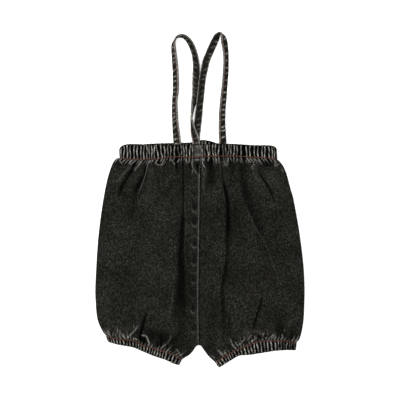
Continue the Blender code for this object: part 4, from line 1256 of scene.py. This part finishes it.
def casing(name, upper, lower, gathers, inside, material, seed, back=False, smooth=None, hem_dark=0.9):
    """A gathered casing between two edges. inside gives the height it lies at, and each row of gathers
    the share along at the top and foot edge, the half width as a share, and the wear of the crest."""
    length = path_length(upper)
    count = int(length / CASING_CELL)
    share = np.linspace(0.0, 1.0, count)
    top = along(upper, share)
    low = along(lower, share)
    v_out = np.concatenate([[0.0, 0.02, 0.05, 0.08, 0.11], np.linspace(0.15, 0.90, 18), [0.94, 0.97, 1.0]])
    v_in = np.linspace(1.0, 0.0, 7)
    v = np.concatenate([v_out, v_in])[None, :]
    rng = np.random.RandomState(seed)
    ridge = np.zeros((count, v.shape[1]))
    wear = np.zeros((count, v.shape[1]))
    rim = np.zeros((count, v.shape[1]))
    for head, foot, half, worn in gathers:
        bend = np.sin(v * (5.0 + 5.0 * rng.rand()) + 6.0 * rng.rand())
        sway = 0.0004 * (0.4 + 0.6 * hem_dark) / length * bend
        gap = share[:, None] - head - (foot - head) * v - sway
        starts = 0.03 + 0.05 * rng.rand()
        shine = 0.72 + 0.28 * np.sin(v * (6.0 + 7.0 * rng.rand()) + 6.0 * rng.rand())
        shape = crest(gap, half)
        ridge = np.maximum(ridge, (0.45 + 0.55 * worn) * shape)
        line = 1.42 * worn * shine * crest(gap, 0.58 * half)
        wear = np.maximum(wear, line * (1.0 - hem_dark * np.exp(-((v / starts) ** 2))))
        rim = np.maximum(rim, shape)
    if smooth:
        middle, half = 0.5 * (smooth[0] + smooth[1]), 0.5 * (smooth[1] - smooth[0])
        level = plateau(share - middle, 1.15 * half)[:, None] * np.clip((v - 0.02) / 0.10, 0.0, 1.0)
        ridge = np.maximum(ridge, 0.66 * level)
        wear = np.maximum(wear, (0.19 + 0.24 * (2.0 * v - 1.0) ** 2) * level)
    rounded = np.clip(v / 0.10, 0.0, 1.0) ** 0.5 * np.clip((1.0 - v) / 0.05, 0.0, 1.0) ** 0.5
    full = 0.45 + 0.55 * rounded
    base = inside(top[:, 0], share)[:, None]
    height = CASING_WALL * full + CASING_BULGE * np.sin(np.pi * v)
    height = height + RIB_HEIGHT * ridge * (0.35 + 0.65 * rounded)
    z = base + height
    is_in = np.zeros(v.shape, bool)
    is_in[:, len(v_out):] = True
    z_in = np.broadcast_to(base, z.shape)
    z = np.where(is_in, z_in, z)
    across = v - 0.022 * rim * (v < 0.03)
    place = top[:, None, :] + across[..., None] * (low - top)[:, None, :]
    rings = np.dstack([place, z])
    # Painted shade between the gathers' crests, and darker along the top edge by hem_dark.
    dye_and_shade = np.clip(1.15 - 1.45 * ridge, 0.0, 1.0)
    dye_and_shade = np.maximum(dye_and_shade, 0.8 * hem_dark * np.exp(-((v / 0.05) ** 2)))
    if back:
        flat = rings[..., 2] - base
        groove = BACK_GROOVE * crest(v - STITCH_PLACE, 0.06)
        under = np.clip(BACK_RELIEF - flat * 0.42, 0.0, BACK_RELIEF) + groove
        rings[..., 2] = np.where(is_in, BAND_WALL, under)
    return ring_mesh(name, rings, {"wear": wear, "dye_and_shade": dye_and_shade}, material), rings, v_out


def casing_gathers(count, seed, lean, dull_share=0.0):
    """Rows of gathers for a casing, unevenly spaced, leaning and worn."""
    rng = np.random.RandomState(seed)
    ends = uneven(count, seed, 0.35)
    rows = []
    for low, high in zip(ends[:-1], ends[1:]):
        middle = 0.5 * (low + high)
        tilt = lean * (2.0 * rng.rand() - 1.0)
        worn = (0.40 + 0.55 * rng.rand()) * (0.45 if middle < dull_share else 1.0)
        rows.append((middle - tilt, middle + tilt, RIB_HALF_SHARE * (high - low), worn))
    return rows


def waistbands(material):
    """The front and back stretch of the waist casing, each with its rings and places across."""
    upper = smooth_path(WAIST_TOP)
    line = moved(smooth_path(WAIST_LINE), dy=EDGE_GAP)
    share = np.linspace(0.0, 1.0, 800)
    top_x = along(upper, share)[:, 0]
    foot_x = along(line, share)[:, 0]
    rows = []
    for head, foot, worn in WAIST_GATHERS:
        rows.append((np.interp(head, top_x, share), np.interp(foot, foot_x, share), WAIST_RIB_HALF, worn))
    smooth = tuple(np.interp(SMOOTH_STRETCH, top_x, share))
    front = casing("waistband_front_cloth", upper, line, rows, under_band, material, 71, smooth=smooth)
    back_top = smooth_path(BACK_WAIST_TOP)
    rows = casing_gathers(BACK_WAIST_GATHERS, 31, WAIST_LEAN)
    back = casing("waistband_back_cloth", back_top, line, rows, on_the_floor, material, 72, back=True)
    return front, back


def cuffs(side_name, line_rows, edge_rows, drop, seed, material):
    """The front and back stretch of one leg casing, the back one hanging lower by the rows of drop."""
    line = moved(smooth_path(line_rows), dy=-EDGE_GAP)
    edge = smooth_path(edge_rows)
    rows = casing_gathers(CUFF_GATHERS[side_name], seed, CUFF_LEAN, CUFF_DULL_SHARE[side_name])
    name = "cuff_front_" + side_name + "_cloth"
    front = casing(name, edge, line, rows, under_cuff, material, seed + 9, hem_dark=0.15)
    shares = np.linspace(0.0, 1.0, 60)
    back_edge = along(edge, shares)
    if drop:
        table = np.array(drop)
        back_edge[:, 1] -= np.interp(shares, table[:, 0], table[:, 1])
    rows = casing_gathers(CUFF_GATHERS["back"], seed + 40, CUFF_LEAN)
    name = "cuff_back_" + side_name + "_cloth"
    back = casing(name, back_edge, line, rows, on_the_floor, material, seed + 19, back=True)
    return front, back


# Straps


def strap(name, rows, hand, seed, side_wear, plain_width, material):
    """A flat puckered strap that rolls about its length, with its stitched edge rubbed bright."""
    path = smooth_path(rows)
    count = int(path_length(path) / STRAP_CELL)
    share = np.linspace(0.0, 1.0, count)
    path = along(path, share)
    ahead = np.gradient(path[:, :2], axis=0)
    ahead /= np.linalg.norm(ahead, axis=1)[:, None]
    aside = np.stack([ahead[:, 1] * hand, -ahead[:, 0] * hand, np.zeros(count)], axis=1)
    up = np.array([0.0, 0.0, 1.0])
    turn = np.radians(path[:, 3])[:, None]
    wide = np.cos(turn) * aside + np.sin(turn) * up
    thick = np.cos(turn) * up - np.sin(turn) * aside
    angle = np.linspace(0.0, 2.0 * math.pi, STRAP_CORNERS, endpoint=False)
    w = np.sign(np.cos(angle)) * np.abs(np.cos(angle)) ** STRAP_SQUARENESS
    n = np.sign(np.sin(angle)) * np.abs(np.sin(angle)) ** STRAP_SQUARENESS
    length = share * path_length(path)
    rng = np.random.RandomState(seed)
    pucker = np.zeros((count, len(angle)))
    place = 0.003
    while place < length[-1]:
        lean = (0.0022 * hand if place < 0.5 * length[-1] else 0.0034) * (0.4 + 1.0 * rng.rand())
        bow = 0.0010 * (2.0 * rng.rand() - 1.0)
        size = 0.45 + 0.55 * rng.rand()
        side = 0.35 * (2.0 * rng.rand() - 1.0) - (0.20 if place < 0.5 * length[-1] else 0.45)
        gap = length[:, None] - place - lean * w[None, :] - bow * w[None, :] ** 2
        ridge = crest(gap, PUCKER_HALF)
        pucker += size * ridge * crest(w[None, :] - side, 0.65)
        place += 0.0046 + 0.0056 * rng.rand()
    half_width = STRAP_WIDTH / 2 * (0.985 + 0.02 * np.sin(length * 900.0 + 2.0 * np.sin(length * 310.0)))
    half_thick = path[:, 4, None] / 2 * (0.86 + 0.20 * pucker)
    offset = (w[None, :] * half_width[:, None])[..., None] * wide[:, None, :]
    offset = offset + (n[None, :] * half_thick)[..., None] * thick[:, None, :]
    lowest = path[:, 2] - offset[..., 2].min(axis=1)
    centre = np.stack([path[:, 0], path[:, 1], lowest], axis=1)
    rings = offset + centre[:, None, :]
    back = np.clip((share[:, None] - 0.50) / 0.08, 0.0, 1.0)
    at_side = np.clip((w[None, :] - 0.955) / 0.02, 0.0, 1.0)
    band = plateau(w[None, :] - 0.80, 0.17) * (n[None, :] > 0) * (1.0 - at_side)
    patchy = 0.80 + 0.20 * np.sin(length[:, None] * 1500.0 + 2.5 * np.sin(length[:, None] * 520.0))
    edge_wear = np.maximum(at_side, plateau(w[None, :] - 0.95, 0.10) * back)
    stitched = np.maximum(0.66 * band * patchy, side_wear * edge_wear)
    plain = (0.32 + 0.34 * back) * plateau(w[None, :] + 1.0, 0.12 + plain_width * back) * patchy
    face = 0.05 + (0.96 - 0.44 * back) * pucker * crest(w[None, :] + 0.25, 0.80)
    fold_line = (np.abs(n) < 0.2)[None, :] * (w > 0)
    wear = np.maximum(np.maximum(stitched, plain), face) * (1.0 - fold_line)
    # Darker throughout except on puckers and worn bands, and darkest along the stitch line and the fold
    # line of the edge.
    dye_and_shade = np.clip(0.61 + 0.05 * back - 1.2 * pucker - 2.0 * stitched - 2.0 * plain, 0.0, 1.0)
    dye_and_shade = np.maximum(dye_and_shade, 0.8 * crest(w[None, :] - STRAP_STITCH, 0.06) + 0.9 * fold_line)
    piece = ring_mesh(name, rings, {"wear": wear, "dye_and_shade": dye_and_shade}, material)
    column = int(np.argmin(np.abs(w - STRAP_STITCH) + (n < 0)))
    beside = w[column] * half_width[:, None] * wide
    over = half_thick[:, column, None] * n[column] * thick
    return piece, centre + beside, over, thick


# Sewing


def stitch_line(name, points, up, material, sunk=0.0, radius=STITCH_RADIUS):
    """A row of short stitches along a line of points, raised along up and sunk by a share of the radius."""
    steps = np.linalg.norm(np.diff(points, axis=0), axis=1)
    run = np.concatenate([[0.0], np.cumsum(steps)])
    total = run[-1]
    verts, faces = [], []
    sides = STITCH_SIDES
    lowest = (-1.0, -1.0, LOWEST_STITCH)
    place = 0.5 * STITCH_PITCH
    while place < total - 0.5 * STITCH_PITCH:
        start = place - 0.5 * STITCH_LENGTH
        first = len(verts)
        for along_share, size in STITCH_PROFILE:
            at = start + along_share * STITCH_LENGTH
            point = np.array([np.interp(at, run, points[:, k]) for k in range(3)])
            later = np.array([np.interp(at + 0.0003, run, points[:, k]) for k in range(3)])
            rise = np.array([np.interp(at, run, up[:, k]) for k in range(3)])
            ahead = later - point
            ahead /= np.linalg.norm(ahead) + 1e-12
            aside = np.cross(ahead, rise)
            aside /= np.linalg.norm(aside) + 1e-12
            for k in range(sides):
                a = 2.0 * math.pi * k / sides
                around = math.cos(a) * aside + (0.6 - sunk + math.sin(a)) * rise
                verts.append(np.maximum(point + radius * size * around, lowest))
        rings = len(STITCH_PROFILE)
        for r in range(rings - 1):
            for k in range(sides):
                a = first + r * sides + k
                b = first + r * sides + (k + 1) % sides
                faces.append((a, b, b + sides, a + sides))
        faces.append(tuple(first + k for k in range(sides))[::-1])
        faces.append(tuple(first + (rings - 1) * sides + k for k in range(sides)))
        place += STITCH_PITCH
    return new_piece(name, np.array(verts), faces, {}, material)


def casing_stitches(name, rings, v_out, material, side):
    """Stitches along a casing, near its foot, over it where side is 1 and under it where side is -1."""
    column = int(np.abs(v_out - STITCH_PLACE).argmin())
    points = rings[:, column].copy()
    window = np.ones(9) / 9.0
    level = np.convolve(np.pad(points[:, 2], 4, mode="edge"), window, mode="valid")
    if side > 0:
        points[:, 2] = np.maximum(level, points[:, 2])
    else:
        points[:, 2] = np.maximum(np.minimum(level, points[:, 2]), 0.0007)
    up = np.tile(np.array([0.0, 0.0, side]), (len(points), 1))
    return stitch_line(name, points[::2], up[::2], material)


# Surroundings


def area_light(name, place, size, power):
    """A square light at a place, turned to the origin."""
    data = bpy.data.lights.new(name, "AREA")
    data.shape = "SQUARE"
    data.size = size
    data.energy = power
    light = bpy.data.objects.new(name, data)
    bpy.context.scene.collection.objects.link(light)
    light.location = place
    x, y, z = -np.array(place)
    light.rotation_euler = (math.atan2(math.hypot(x, y), -z), 0.0, math.atan2(y, x) - math.pi / 2)


def studio():
    scene = bpy.context.scene
    world = bpy.data.worlds.new("studio")
    world.use_nodes = True
    world.node_tree.nodes["Background"].inputs["Color"].default_value = (1.0, 1.0, 1.0, 1.0)
    world.node_tree.nodes["Background"].inputs["Strength"].default_value = SKY_STRENGTH
    scene.world = world
    area_light("key", (-0.75, 0.65, 1.25), 0.7, KEY_POWER)
    area_light("fill", (0.95, -0.35, 1.30), 1.2, FILL_POWER)
    bpy.ops.object.select_all(action="DESELECT")
    bpy.ops.mesh.primitive_plane_add(size=6.0, location=(0.0, 0.0, -FLOOR_DROP))
    floor = bpy.context.active_object
    floor.name = "floor"
    bpy.ops.object.transform_apply(location=True, rotation=True, scale=True)
    paper = bpy.data.materials.new("white floor")
    paper.use_nodes = True
    shader = paper.node_tree.nodes["Principled BSDF"]
    shader.inputs["Base Color"].default_value = (FLOOR_SHADE, FLOOR_SHADE, FLOOR_SHADE, 1.0)
    shader.inputs["Roughness"].default_value = 0.9
    shader.inputs["Specular IOR Level"].default_value = 0.1
    shader.inputs["Emission Color"].default_value = (1.0, 1.0, 1.0, 1.0)
    shader.inputs["Emission Strength"].default_value = FLOOR_GLOW
    floor.data.materials.append(paper)
    scene.view_settings.view_transform = "Standard"


def camera():
    data = bpy.data.cameras.new("camera")
    data.lens = LENS
    data.sensor_width = 36.0
    data.clip_start = 0.05
    made = bpy.data.objects.new("camera", data)
    bpy.context.scene.collection.objects.link(made)
    made.location = (0.0, 0.0, CAMERA_HEIGHT)
    bpy.context.scene.camera = made


def declare(piece, node_name, sewn=()):
    """Rides one sheet of the garment and its thread on the root body, and hides the part that it replaces.
    """
    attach(piece, "root")
    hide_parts(node_name)
    for thread in sewn:
        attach(thread, "root")


def legs(denim):
    """The four panels and the felled strip between the front ones."""
    left, left_top = front_panel("leg_front_left_cloth", -1, denim)
    right, _ = front_panel("leg_front_right_cloth", 1, denim)
    back_left = back_panel("leg_back_left_cloth", -1, denim)
    back_right = back_panel("leg_back_right_cloth", 1, denim)
    fell = fell_strip("seam_front_cloth", left_top, denim)
    declare(back_left, "leg_back_left")
    declare(back_right, "leg_back_right")
    declare(left, "leg_front_left")
    declare(right, "leg_front_right")
    declare(fell, "seam_front")


def sew_casing(stretches, node_names, stitch_names, thread):
    sewn = []
    for (_, rings, v_out), name, side in zip(stretches, stitch_names, (1.0, -1.0)):
        sewn.append(casing_stitches(name, rings, v_out, thread, side))
    (front, _, _), (back, _, _) = stretches
    declare(back, node_names[1], sewn=[sewn[1]])
    declare(front, node_names[0], sewn=[sewn[0]])


def casings(gathered, thread):
    """The waist casing and both leg casings, with their topstitching."""
    sew_casing(waistbands(gathered), ("waistband_front", "waistband_back"),
               ("waist_stitches_front", "waist_stitches_back"), thread)
    sides = (
        ("left", CUFF_LINE_LEFT, CUFF_EDGE_LEFT, None, 51),
        ("right", CUFF_LINE_RIGHT, CUFF_EDGE_RIGHT, BACK_CUFF_DROP, 52),
    )
    for side, line, edge, drop, seed in sides:
        stretches = cuffs(side, line, edge, drop, seed, gathered)
        sew_casing(stretches, ("cuff_front_" + side, "cuff_back_" + side),
                   ("cuff_stitches_front_" + side, "cuff_stitches_back_" + side),
                   thread)


def straps(worn, thread, bobbin):
    """Both straps, stitched along one edge from both sides."""
    looks = (("left", STRAP_LEFT, 1, 61, 0.52, 0.26), ("right", STRAP_RIGHT, -1, 62, 0.60, 0.16))
    for side, rows, hand, seed, side_wear, plain_width in looks:
        cloth = "strap_" + side + "_cloth"
        name = "strap_stitches_" + side
        piece, line, over, out = strap(cloth, rows, hand, seed, side_wear, plain_width, worn)
        sewn = [
            stitch_line(name + "_upper", line + over, out, thread, radius=STRAP_STITCH_RADIUS),
            stitch_line(name + "_under", line - 0.75 * over, -out, bobbin, 0.3, STRAP_STITCH_RADIUS),
        ]
        declare(piece, "strap_" + side, sewn=sewn)


def main():
    camera()
    studio()
    group = denim_group()
    denim = denim_material("washed black denim", group)
    gathered = denim_material("gathered washed denim", group, fleck=0.9)
    worn = denim_material("worn strap denim", group, fleck=1.1, bump=0.5)
    thread = thread_material("rust thread", THREAD)
    # The under stitches use the rust thread darkened as painted shade.
    bobbin = thread_material("bobbin thread in painted shade", BOBBIN_THREAD_IN_SHADE)
    legs(denim)
    casings(gathered, thread)
    straps(worn, thread, bobbin)


main()
